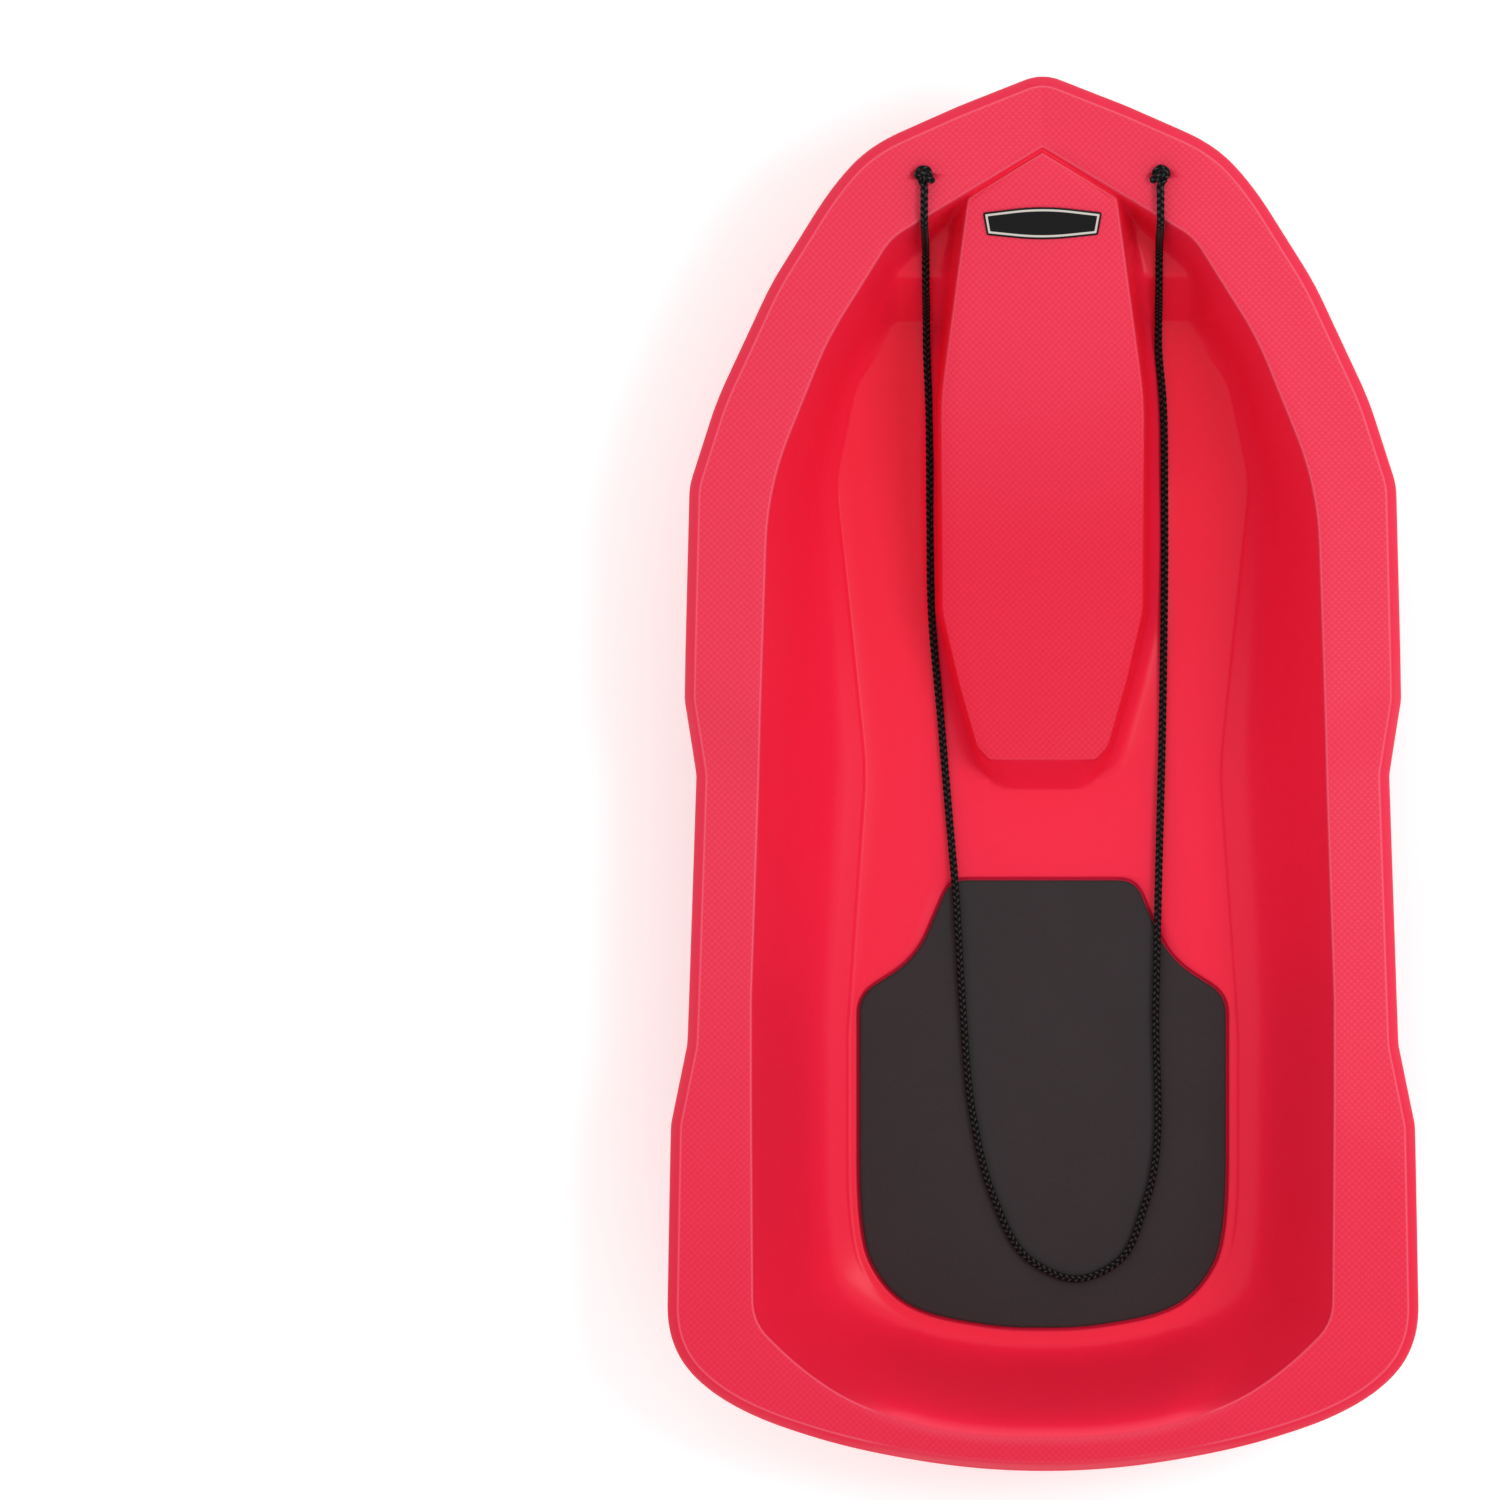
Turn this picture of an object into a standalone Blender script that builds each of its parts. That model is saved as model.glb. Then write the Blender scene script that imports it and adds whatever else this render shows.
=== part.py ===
"""Moulded toboggan with a foam seat pad and a tow rope, in metres, +Z up, nose towards +Y.

The hull is one thin plastic sheet. Its plan outlines are named corners with rounded turns, a height
formula lifts every point of the sheet by its distance to those outlines, and Solidify gives the wall.
The pad and the name plate are slabs made the same way, and the rope is a bevelled curve.
"""

import math

import bmesh
import bpy
import numpy as np
from mathutils import Vector
from mathutils.geometry import delaunay_2d_cdt

# Overall size, and the wall of the moulded sheet
LENGTH = 1.219
WIDTH = 0.657
SHEET = 0.0035
GAP = 0.0003

# Outline of the rim: corners measured back from the nose, in from the widest side or on from the tail
NOSE_RADIUS = 0.042
NOSE_TIP = 0.0031
BROW_HALF = 0.0734
BROW_BACK = 0.0262
SHOULDER_HALF = 0.1503
SHOULDER_BACK = 0.0603
SHOULDER_RADIUS = 0.140
CHEEK_HALF = 0.1835
CHEEK_BACK = 0.0953
BOW_IN = 0.0916
BOW_BACK = 0.180
FLARE_IN = 0.0440
FLARE_BACK = 0.2814
BOW_RADIUS = 0.300
CORNER_IN = 0.0200
CORNER_BACK = 0.3557
CORNER_RADIUS = 0.060
GRIP_START_IN = 0.0153
GRIP_START_BACK = 0.5436
GRIP_FRONT_IN = 0.0253
GRIP_FRONT_BACK = 0.6092
GRIP_REAR_IN = 0.0175
GRIP_REAR_BACK = 0.845
GRIP_END_IN = 0.0035
GRIP_END_BACK = 0.915
GRIP_RADIUS = 0.035
HIP_ON = 0.1064
HIP_RADIUS = 0.090
TAIL_CORNER_IN = 0.0549
TAIL_CORNER_ON = 0.0542
TAIL_QUARTER_IN = 0.1646
TAIL_QUARTER_ON = 0.018
TAIL_HALF = 0.0546
TAIL_RADIUS = 0.700

# Rim: its least widths, the fall to the outside, the turned-down lip and the shallow fold at the nose
RIM_NOSE = 0.062
RIM_SIDE = 0.0743
RIM_TAIL = 0.0311
RIM_FALL = 0.004
LIP_WIDTH = 0.009
LIP_DROP = 0.014
NOSE_FOLD = 0.009
NOSE_FOLD_HALF = 0.120
GRIP_REAR_RISE = 0.070
GRIP_FRONT_RISE = 0.025

# Inner edge of the rim, measured like the outline
WELL_SHOULDER_HALF = 0.1312
WELL_SHOULDER_BACK = 0.1409
WELL_SHOULDER_RADIUS = 0.055
WELL_BOW_HALF = 0.1862
WELL_BOW_BACK = 0.2279
WELL_BEND_HALF = 0.2391
WELL_BEND_BACK = 0.3581
WELL_BEND_RADIUS = 0.280
WELL_SIDE_BACK = 0.8058
WELL_HIP_IN = 0.0763
WELL_HIP_ON = 0.1317
WELL_HIP_RADIUS = 0.045
WELL_CORNER_HALF = 0.2098
WELL_CORNER_ON = 0.0902
WELL_QUARTER_HALF = 0.160
WELL_QUARTER_ON = 0.0578
WELL_TAIL_HALF = 0.0734
WELL_TAIL_RADIUS = 0.400

# Heights of the rim's top and of the floor, above the ground
NOSE_TOP = 0.215
KNOT_TOP = 0.205
CORNER_TOP = 0.187
SIDE_TOP = 0.185
GRIP_TOP = 0.166
TAIL_TOP = 0.176
LEDGE_TOP = 0.100
LEDGE_TILT = 0.10
STEP_FOOT_TOP = 0.050
FLOOR_RISE = 0.030
FLOOR_BEND_RISE = 0.012
FLOOR_RUN_UP = 0.070
POCKET_DEPTH = 0.003
POCKET_EDGE = 0.002

# Foot of the walls, with the crease where the shelf beside the floor breaks down to it
LEDGE_WALL = 0.0585
LEDGE_WALL_HALF = 0.081
LEDGE_HALF = 0.1295
LEDGE_BACK = 0.168
STEP_RUN = 0.0395
THIGH_HALF = 0.187
THIGH_BACK = 0.3475
KNEE_HALF = 0.168
KNEE_BACK = 0.2595
WAIST_HALF = 0.160
WAIST_BACK = 0.6045
SEAT_BACK = 0.8395
PAD_BORDER = 0.0125
SEAT_RADIUS = 0.200
LEDGE_RADIUS = 0.012
STEP_RADIUS = 0.008
KNEE_RADIUS = 0.060
THIGH_RADIUS = 0.120
CREASE_WIDTH = 0.007
CREASE_DROP = 0.004
CREASE_FRONT_FADE = 0.050
CREASE_REAR_FADE = 0.100
WALL_POWER = 2.2
SOFT_TAIL_HALF = 0.200
SOFT_TAIL_FADE = 0.090
SOFT_TAIL_ON = 0.160
SOFT_TAIL_RISE = 0.060

# Console between the legs, from the nose to the middle of the floor
CONSOLE_STEP = 0.0035
CONSOLE_NOSE_HALF = 0.0656
CONSOLE_HALF = 0.0900
CONSOLE_NOSE_SIDE = 0.0124
CONSOLE_SIDE = 0.0060
CONSOLE_WIDE_BACK = 0.2777
CONSOLE_LENGTH = 0.534
CONSOLE_WAIST_ON = 0.133
CONSOLE_TAPER = 0.106
CONSOLE_CALF_IN = 0.0145
CONSOLE_CALF_ON = 0.070
CONSOLE_TAIL_HALF = 0.0471
CONSOLE_HEEL = 0.012
CONSOLE_REAR_FACE = 0.026
CONSOLE_NOSE_RADIUS = 0.004
CONSOLE_WAIST_RADIUS = 0.060
CONSOLE_CALF_RADIUS = 0.120
CONSOLE_HEEL_RADIUS = 0.014
CONSOLE_TAIL_RADIUS = 0.006
CONSOLE_NECK_TOP = 0.175
CONSOLE_MIDDLE_TOP = 0.105
CONSOLE_TAPER_TOP = 0.062
CONSOLE_TAIL_TOP = 0.046
CONSOLE_CROWN = 0.004

# Seat pad and its pocket
PAD_LENGTH = 0.3995
PAD_WIDTH = 0.3272
PAD_NOSE_WIDTH = 0.1652
PAD_NOSE_RADIUS = 0.022
PAD_NECK_HALF = 0.1125
PAD_NECK_BACK = 0.0702
PAD_NECK_RADIUS = 0.085
PAD_SHOULDER_BACK = 0.1026
PAD_SHOULDER_RADIUS = 0.030
PAD_HIP_ON = 0.0803
PAD_CORNER_IN = 0.022
PAD_CORNER_ON = 0.0361
PAD_QUARTER_IN = 0.0564
PAD_QUARTER_ON = 0.012
PAD_TAIL_HALF = 0.0339
PAD_TAIL_RADIUS = 0.300
PAD_ON = 0.1165
PAD_THICKNESS = 0.008
PAD_CROWN = 0.0012
PAD_EDGE = 0.003
PAD_CLEARANCE = 0.001

# Blank name plate on the console
PLATE_WIDTH = 0.101
PLATE_DEPTH = 0.0275
PLATE_RADIUS = 0.006
PLATE_THICKNESS = 0.0012
PLATE_BACK = 0.1135

# Tow rope, its knots and the holes that they stop at
ROPE_DIAMETER = 0.0065
HOLE_DIAMETER = 0.0085
HOLE_HALF = 0.1029
HOLE_BACK = 0.0855
CUTTER_DEPTH = 0.050
KNOT_DIAMETER = 0.0190
KNOT_HEIGHT = 0.0165
KNOT_LUMP = 0.10
KNOT_SEAT = 0.0006

# Middle line of the rope where it falls from a knot to the floor, the same at both sides (y, z)
ROPE_DROP = [
    (0.5137, 0.2082), (0.5035, 0.2086), (0.4928, 0.2084), (0.4871, 0.2071), (0.4825, 0.2037),
    (0.4795, 0.1988), (0.4780, 0.1925), (0.4738, 0.1600), (0.4685, 0.1300), (0.4638, 0.1165),
    (0.4560, 0.1088), (0.4455, 0.1058), (0.4337, 0.1005), (0.4040, 0.0607), (0.3820, 0.0518),
]

# Middle line of the rope from the left drop, round the loop on the pad, to the right drop (x, y, z)
ROPE_RUN = [
    (-0.1010, 0.3300, 0.0379), (-0.1003, 0.2300, 0.0168), (-0.0990, 0.1450, 0.0086),
    (-0.0912, 0.0560, 0.0074), (-0.0830, -0.0400, 0.0088), (-0.0770, -0.1080, 0.0148),
    (-0.0712, -0.2050, 0.0152), (-0.0618, -0.3040, 0.0155), (-0.0450, -0.3720, 0.0154),
    (-0.0110, -0.4320, 0.0151), (0.0317, -0.4488, 0.0149), (0.0690, -0.4320, 0.0151),
    (0.0915, -0.3820, 0.0153), (0.1010, -0.2000, 0.0152), (0.1030, -0.1130, 0.0148),
    (0.1075, 0.0700, 0.0074), (0.1088, 0.2400, 0.0178), (0.1070, 0.3350, 0.0393),
]

# Linear colours of the four materials
HULL_RED = (0.84, 0.04, 0.085)
FOAM_GREY = (0.047, 0.041, 0.042)
PLATE_BLACK = (0.012, 0.012, 0.013)
ROPE_BLACK = (0.011, 0.010, 0.011)

# Fineness of the meshes
TURN_STEPS = 4
PLAN_STEP = 0.030
FREE_STEP = 0.042
FREE_CLEAR = 0.014
WALL_LEVELS = (0.1, 0.28, 0.52, 0.78)
WELD = 0.0012
WALL_CLEAR = 0.003
ROPE_STEPS = 2
KNOT_RINGS = 12
KNOT_SIDES = 20

# Places that follow from the sizes
HALF = WIDTH / 2
NOSE = LENGTH / 2
TAIL = -LENGTH / 2
CORNER_Y = NOSE - CORNER_BACK
APEX_Y = NOSE - RIM_NOSE
CONSOLE_TAIL_Y = APEX_Y - CONSOLE_LENGTH
LEDGE_Y = NOSE - LEDGE_BACK
STEP_Y = LEDGE_Y - STEP_RUN
PAD_TAIL_Y = TAIL + PAD_ON
PAD_NOSE_Y = PAD_TAIL_Y + PAD_LENGTH
HOLE_Y = NOSE - HOLE_BACK
FLOOR_TOP = SHEET + POCKET_DEPTH


def smooth(t):
    """Ease from 0 to 1 as t goes from 0 to 1."""
    t = np.clip(t, 0.0, 1.0)
    return t * t * (3 - 2 * t)


def curve(at, stations):
    """Height read from a smooth line through (place, height) stations that never overshoots them."""
    x, z = np.array(sorted(stations)).T
    steps = np.diff(x)
    rises = np.diff(z) / steps
    slopes = np.zeros(len(x))
    both = rises[:-1] * rises[1:] > 0
    slopes[1:-1][both] = 2 * rises[:-1][both] * rises[1:][both] / (rises[:-1] + rises[1:])[both]
    at = np.clip(at, x[0], x[-1])
    i = np.clip(np.searchsorted(x, at) - 1, 0, len(steps) - 1)
    t = (at - x[i]) / steps[i]
    start = z[i] * (1 + 2 * t) * (1 - t) ** 2 + slopes[i] * steps[i] * t * (1 - t) ** 2
    end = z[i + 1] * t * t * (3 - 2 * t) + slopes[i + 1] * steps[i] * t * t * (t - 1)
    return start + end


def rounded(corners, closed=True):
    """Plan line through corners (x, y, radius), each turn a curve that leaves the corner's two sides."""
    line = []
    count = len(corners)
    for i, (x, y, radius) in enumerate(corners):
        corner = Vector((x, y))
        back = Vector(corners[i - 1][:2]) - corner
        ahead = Vector(corners[(i + 1) % count][:2]) - corner
        if radius == 0 or (not closed and i in (0, count - 1)):
            line.append((x, y))
            continue
        reach = radius / math.tan(back.angle(ahead) / 2)
        start = corner + back.normalized() * min(reach, 0.49 * back.length)
        end = corner + ahead.normalized() * min(reach, 0.49 * ahead.length)
        for k in range(TURN_STEPS + 1):
            t = k / TURN_STEPS
            line.append(tuple(start * (1 - t) ** 2 + corner * 2 * t * (1 - t) + end * t * t))
    return np.array(line)


def divided(line, closed=True):
    """The same line with its long sides divided into steps of about PLAN_STEP."""
    ends = np.roll(line, -1, axis=0) if closed else line[1:]
    points = []
    for a, b in zip(line, ends):
        count = max(1, round(np.linalg.norm(b - a) / PLAN_STEP))
        points.extend(a + (b - a) * k / count for k in range(count))
    if not closed:
        points.append(line[-1])
    return np.array(points)


def both_sides(half):
    """Corners all round from those of the +X half, nose to tail; corners on the centre line stay single."""
    return half + [(-x, y, radius) for x, y, radius in reversed(half) if x > 0]


def mirrored(half):
    """Closed plan outline, clockwise from above, from the corners of its +X half."""
    return divided(rounded(both_sides(half)))


def grown(corners, amount):
    """The closed outline's corners moved outwards, each along the line that halves its turn."""
    moved = []
    for i, (x, y, radius) in enumerate(corners):
        corner = Vector((x, y))
        before = (corner - Vector(corners[i - 1][:2])).normalized()
        after = (Vector(corners[(i + 1) % len(corners)][:2]) - corner).normalized()
        along = before + after
        out = Vector((-along.y, along.x)) * 2 * amount / along.length_squared
        moved.append((x + out.x, y + out.y, radius))
    return moved


def inset(outline, amount):
    """The outline moved inwards; outlines run clockwise, seen from above."""
    side = np.roll(outline, -1, axis=0) - np.roll(outline, 1, axis=0)
    side /= np.linalg.norm(side, axis=1)[:, None]
    return outline + np.stack([side[:, 1], -side[:, 0]], axis=1) * amount


def distance(points, outline):
    """Distance of each point to the closed outline."""
    a = outline[None]
    side = np.roll(outline, -1, axis=0)[None] - a
    to = points[:, None] - a
    t = np.clip((to * side).sum(2) / np.maximum((side * side).sum(2), 1e-12), 0, 1)
    return np.linalg.norm(to - side * t[..., None], axis=2).min(axis=1)


def inside(points, outline):
    """Whether each point lies inside the closed outline."""
    x, y = points[:, 0, None], points[:, 1, None]
    ax, ay = outline[None, :, 0], outline[None, :, 1]
    bx, by = np.roll(ax, -1, axis=1), np.roll(ay, -1, axis=1)
    rise = np.where(by == ay, 1.0, by - ay)
    crossed = ((ay > y) != (by > y)) & (x < ax + (bx - ax) * (y - ay) / rise)
    return crossed.sum(axis=1) % 2 == 1


def rim_outline():
    """Outer edge of the rim, with the grip dips at both sides."""
    return mirrored([
        (0, NOSE + NOSE_TIP, NOSE_RADIUS),
        (BROW_HALF, NOSE - BROW_BACK, BOW_RADIUS),
        (SHOULDER_HALF, NOSE - SHOULDER_BACK, SHOULDER_RADIUS),
        (CHEEK_HALF, NOSE - CHEEK_BACK, BOW_RADIUS),
        (HALF - BOW_IN, NOSE - BOW_BACK, BOW_RADIUS),
        (HALF - FLARE_IN, NOSE - FLARE_BACK, BOW_RADIUS),
        (HALF - CORNER_IN, CORNER_Y, CORNER_RADIUS),
        (HALF - GRIP_START_IN, NOSE - GRIP_START_BACK, GRIP_RADIUS),
        (HALF - GRIP_FRONT_IN, NOSE - GRIP_FRONT_BACK, GRIP_RADIUS),
        (HALF - GRIP_REAR_IN, NOSE - GRIP_REAR_BACK, GRIP_RADIUS),
        (HALF - GRIP_END_IN, NOSE - GRIP_END_BACK, GRIP_RADIUS),
        (HALF, TAIL + HIP_ON, HIP_RADIUS),
        (HALF - TAIL_CORNER_IN, TAIL + TAIL_CORNER_ON, TAIL_RADIUS),
        (HALF - TAIL_QUARTER_IN, TAIL + TAIL_QUARTER_ON, TAIL_RADIUS),
        (TAIL_HALF, TAIL, TAIL_RADIUS),
    ])


def cockpit_outline():
    """Inner edge of the rim, where the walls begin."""
    return mirrored([
        (0, APEX_Y, 0),
        (WELL_SHOULDER_HALF, NOSE - WELL_SHOULDER_BACK, WELL_SHOULDER_RADIUS),
        (WELL_BOW_HALF, NOSE - WELL_BOW_BACK, BOW_RADIUS),
        (WELL_BEND_HALF, NOSE - WELL_BEND_BACK, WELL_BEND_RADIUS),
        (HALF - RIM_SIDE, NOSE - WELL_SIDE_BACK, BOW_RADIUS),
        (HALF - WELL_HIP_IN, TAIL + WELL_HIP_ON, WELL_HIP_RADIUS),
        (WELL_CORNER_HALF, TAIL + WELL_CORNER_ON, WELL_TAIL_RADIUS),
        (WELL_QUARTER_HALF, TAIL + WELL_QUARTER_ON, WELL_TAIL_RADIUS),
        (WELL_TAIL_HALF, TAIL + RIM_TAIL, WELL_TAIL_RADIUS),
    ])


def pad_corners():
    """Corners of the seat pad: a narrow front between the legs, shoulders and a wide round rear."""
    half = PAD_WIDTH / 2
    return [
        (PAD_NOSE_WIDTH / 2, PAD_NOSE_Y, PAD_NOSE_RADIUS),
        (PAD_NECK_HALF, PAD_NOSE_Y - PAD_NECK_BACK, PAD_NECK_RADIUS),
        (half, PAD_NOSE_Y - PAD_SHOULDER_BACK, PAD_SHOULDER_RADIUS),
        (half, PAD_TAIL_Y + PAD_HIP_ON, PAD_TAIL_RADIUS),
        (half - PAD_CORNER_IN, PAD_TAIL_Y + PAD_CORNER_ON, PAD_TAIL_RADIUS),
        (half - PAD_QUARTER_IN, PAD_TAIL_Y + PAD_QUARTER_ON, PAD_TAIL_RADIUS),
        (PAD_TAIL_HALF, PAD_TAIL_Y, PAD_TAIL_RADIUS),
    ]


def foot_outline():
    """Foot of the walls: round the ledge, in at the step, then the long crease beside floor and pad."""
    border = grown(both_sides(pad_corners()), PAD_BORDER)
    return mirrored([
        (0, APEX_Y - LEDGE_WALL / 3, 0),
        (LEDGE_WALL_HALF, APEX_Y - LEDGE_WALL, 0),
        (LEDGE_HALF, LEDGE_Y, LEDGE_RADIUS),
        (LEDGE_HALF, STEP_Y, STEP_RADIUS),
        (KNEE_HALF, NOSE - KNEE_BACK, KNEE_RADIUS),
        (THIGH_HALF, NOSE - THIGH_BACK, THIGH_RADIUS),
        (WAIST_HALF, NOSE - WAIST_BACK, BOW_RADIUS),
        (PAD_WIDTH / 2 + PAD_BORDER, NOSE - SEAT_BACK, SEAT_RADIUS),
        *border[3:len(pad_corners())],
    ])


def console_front(x):
    """Place of the fold between rim and console, which runs straight from the apex to each side."""
    return APEX_Y - (WELL_SHOULDER_BACK - RIM_NOSE) * x / WELL_SHOULDER_HALF


def console_top():
    """Edge of the console's top: it widens from the nose, runs on, then tapers to its tail."""
    return mirrored([
        (0, APEX_Y - CONSOLE_STEP, 0),
        (CONSOLE_NOSE_HALF, console_front(CONSOLE_NOSE_HALF) - CONSOLE_STEP, CONSOLE_NOSE_RADIUS),
        (CONSOLE_HALF, NOSE - CONSOLE_WIDE_BACK, BOW_RADIUS),
        (CONSOLE_HALF, CONSOLE_TAIL_Y + CONSOLE_WAIST_ON, CONSOLE_WAIST_RADIUS),
        (CONSOLE_HALF - CONSOLE_CALF_IN, CONSOLE_TAIL_Y + CONSOLE_CALF_ON, CONSOLE_CALF_RADIUS),
        (CONSOLE_TAIL_HALF + CONSOLE_HEEL, CONSOLE_TAIL_Y + CONSOLE_HEEL, CONSOLE_HEEL_RADIUS),
        (CONSOLE_TAIL_HALF, CONSOLE_TAIL_Y, CONSOLE_TAIL_RADIUS),
    ])


def console_side_corners():
    """Corners of the foot of the console's side and rear face, from the rim's inner edge back."""
    nose_half = CONSOLE_NOSE_HALF + CONSOLE_NOSE_SIDE
    half = CONSOLE_HALF + CONSOLE_SIDE
    return [
        (nose_half, console_front(nose_half), 0),
        (half, NOSE - CONSOLE_WIDE_BACK, BOW_RADIUS),
        (half, CONSOLE_TAIL_Y + CONSOLE_WAIST_ON, CONSOLE_WAIST_RADIUS),
        (half - CONSOLE_CALF_IN, CONSOLE_TAIL_Y + CONSOLE_CALF_ON, CONSOLE_CALF_RADIUS),
        (CONSOLE_TAIL_HALF + CONSOLE_HEEL, CONSOLE_TAIL_Y - CONSOLE_HEEL / 2, CONSOLE_HEEL_RADIUS),
        (CONSOLE_TAIL_HALF - CONSOLE_HEEL, CONSOLE_TAIL_Y - CONSOLE_REAR_FACE, CONSOLE_TAIL_RADIUS),
        (0, CONSOLE_TAIL_Y - CONSOLE_REAR_FACE, 0),
    ]


def console_foot():
    """Foot of the console all round; its front lies on the rim's inner edge."""
    return mirrored([(0, APEX_Y, 0)] + console_side_corners())


RIM = rim_outline()
COCKPIT = cockpit_outline()
FOOT = foot_outline()
CONSOLE_TOP = console_top()
CONSOLE_FOOT = console_foot()
PAD = mirrored(pad_corners())
POCKET_FOOT = inset(PAD, -PAD_CLEARANCE)
POCKET = inset(PAD, -PAD_CLEARANCE - POCKET_EDGE)


def rim_top(points):
    """Height of the rim's inner edge along the sled, with the grip dips and the fold at the nose."""
    x, y = points.T
    line = curve(y, [
        (TAIL, TAIL_TOP),
        (TAIL + HIP_ON, SIDE_TOP),
        (NOSE - GRIP_END_BACK, SIDE_TOP),
        (NOSE - GRIP_REAR_BACK + GRIP_REAR_RISE, GRIP_TOP),
        (NOSE - GRIP_FRONT_BACK - GRIP_FRONT_RISE, GRIP_TOP),
        (NOSE - GRIP_START_BACK, SIDE_TOP),
        (CORNER_Y, CORNER_TOP),
        (HOLE_Y, KNOT_TOP),
        (NOSE, NOSE_TOP),
    ])
    fold = np.clip(1 - abs(x) / NOSE_FOLD_HALF, 0, 1) * smooth((y - CORNER_Y) / (APEX_Y - CORNER_Y))
    return line - NOSE_FOLD * fold


def floor_top(points):
    """Height of the floor along the sled: flat under the seat, a rocker, the step and the foot ledge."""
    y = points[:, 1]
    rocker = curve(y, [
        (TAIL, FLOOR_TOP),
        (PAD_NOSE_Y, FLOOR_TOP),
        (CONSOLE_TAIL_Y, SHEET),
        (CONSOLE_TAIL_Y + CONSOLE_TAPER, SHEET),
        (CORNER_Y, SHEET + FLOOR_BEND_RISE),
        (STEP_Y - FLOOR_RUN_UP, SHEET + FLOOR_RISE),
        (STEP_Y, STEP_FOOT_TOP),
    ])
    step = np.clip((y - STEP_Y) / STEP_RUN, 0, 1)
    return rocker + (LEDGE_TOP - STEP_FOOT_TOP) * step + LEDGE_TILT * np.clip(y - LEDGE_Y, 0, STEP_RUN)


def crease(points):
    """Height of the shelf above the floor, which fades out at the step and behind the seat."""
    y = points[:, 1]
    front = smooth((STEP_Y - y) / CREASE_FRONT_FADE)
    rear = smooth((y - PAD_TAIL_Y) / CREASE_REAR_FADE)
    return CREASE_DROP * front * rear


def wall_profile(points, t):
    """Fall of the wall from 1 at the rim to 0 at its foot: a crisp edge, but a soft S at the tail."""
    x, y = points.T
    soft = smooth((SOFT_TAIL_HALF - abs(x)) / SOFT_TAIL_FADE)
    soft *= smooth((TAIL + SOFT_TAIL_ON - y) / SOFT_TAIL_RISE)
    crisp_fall = (1 - t) ** WALL_POWER
    soft_fall = 0.5 + 0.5 * np.cos(np.pi * t)
    return crisp_fall * (1 - soft) + soft_fall * soft


def sheet_top(points):
    """Height of the sheet's upper face: rim, walls, floor with its pocket, then the console on top."""
    to_rim = distance(points, RIM)
    to_cockpit = distance(points, COCKPIT)
    to_foot = distance(points, FOOT)
    edge = rim_top(points)
    floor = floor_top(points)
    shelf = floor + crease(points)

    across = to_cockpit / (to_cockpit + to_rim + 1e-9)
    lip = np.clip(1 - to_rim / LIP_WIDTH, 0, 1)
    height = edge - RIM_FALL * across - LIP_DROP * lip ** 2

    down = to_cockpit / (to_cockpit + to_foot + 1e-9)
    wall = shelf + (edge - shelf) * wall_profile(points, down)
    height = np.where(inside(points, COCKPIT) | (to_cockpit < 1e-6), wall, height)

    fall = np.clip(1 - to_foot / CREASE_WIDTH, 0, 1)
    sunk = np.clip(distance(points, POCKET) / POCKET_EDGE, 0, 1) * inside(points, POCKET)
    level = floor + (shelf - floor) * fall ** 2 - POCKET_DEPTH * sunk
    height = np.where(inside(points, FOOT), level, height)

    side = distance(points, CONSOLE_TOP) * ~inside(points, CONSOLE_TOP)
    down = side / (side + distance(points, CONSOLE_FOOT) + 1e-9)
    console = height * down + console_height(points) * (1 - down)
    return np.where(inside(points, CONSOLE_FOOT), console, height)


def console_height(points):
    """Height of the console's top: down from the nose, with a low crown across."""
    x, y = points.T
    line = curve(y, [
        (CONSOLE_TAIL_Y, CONSOLE_TAIL_TOP),
        (CONSOLE_TAIL_Y + CONSOLE_TAPER, CONSOLE_TAPER_TOP),
        (CORNER_Y, CONSOLE_MIDDLE_TOP),
        (LEDGE_Y, CONSOLE_NECK_TOP),
        (APEX_Y, NOSE_TOP - NOSE_FOLD - 2 * CONSOLE_STEP),
    ])
    return line - CONSOLE_CROWN * (x / CONSOLE_HALF) ** 2


def triangulated(outline, lines, free):
    """Plan triangles inside the outline, with every given line (points, closed) kept as edges."""
    points = []
    edges = []
    for line, closed in [(outline, True)] + lines:
        first = len(points)
        points.extend(line)
        edges.extend((first + k, first + k + 1) for k in range(len(line) - 1))
        if closed:
            edges.append((len(points) - 1, first))
    points.extend(free)
    result = delaunay_2d_cdt([Vector(p) for p in points], edges, [], 1, 1e-5)
    return np.array([tuple(p) for p in result[0]]), result[2]


def welded(plan, faces):
    """The plan triangles with points that lie closer than WELD made one."""
    work = bmesh.new()
    points = [work.verts.new((x, y, 0)) for x, y in plan]
    for face in faces:
        work.faces.new([points[i] for i in face])
    bmesh.ops.remove_doubles(work, verts=points, dist=WELD)
    work.verts.index_update()
    plan = np.array([v.co.xy for v in work.verts])
    faces = [[v.index for v in face.verts] for face in work.faces]
    work.free()
    return plan, faces


def clear_of(points, lines, clear):
    """Those of the points that keep clear of all the lines."""
    for line, _ in lines:
        points = points[distance(points, line) > clear]
    return points


def free_points(outline, lines, clear):
    """Points of a square grid inside the outline that keep clear of all the lines."""
    steps = np.arange(-1.0, 1.0, FREE_STEP) + FREE_STEP / 2
    grid = np.stack(np.meshgrid(steps, steps), axis=-1).reshape(-1, 2)
    return clear_of(grid[inside(grid, outline)], lines + [(outline, True)], clear)


def wall_points(lines):
    """Points at a few levels down the walls, between the rim's edge and the wall's foot."""
    nearest = np.linalg.norm(COCKPIT[:, None] - FOOT[None], axis=2).argmin(axis=1)
    reach = FOOT[nearest] - COCKPIT
    points = np.concatenate([COCKPIT + reach * level for level in WALL_LEVELS])
    return clear_of(points[~inside(points, CONSOLE_FOOT)], lines, WALL_CLEAR)


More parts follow.
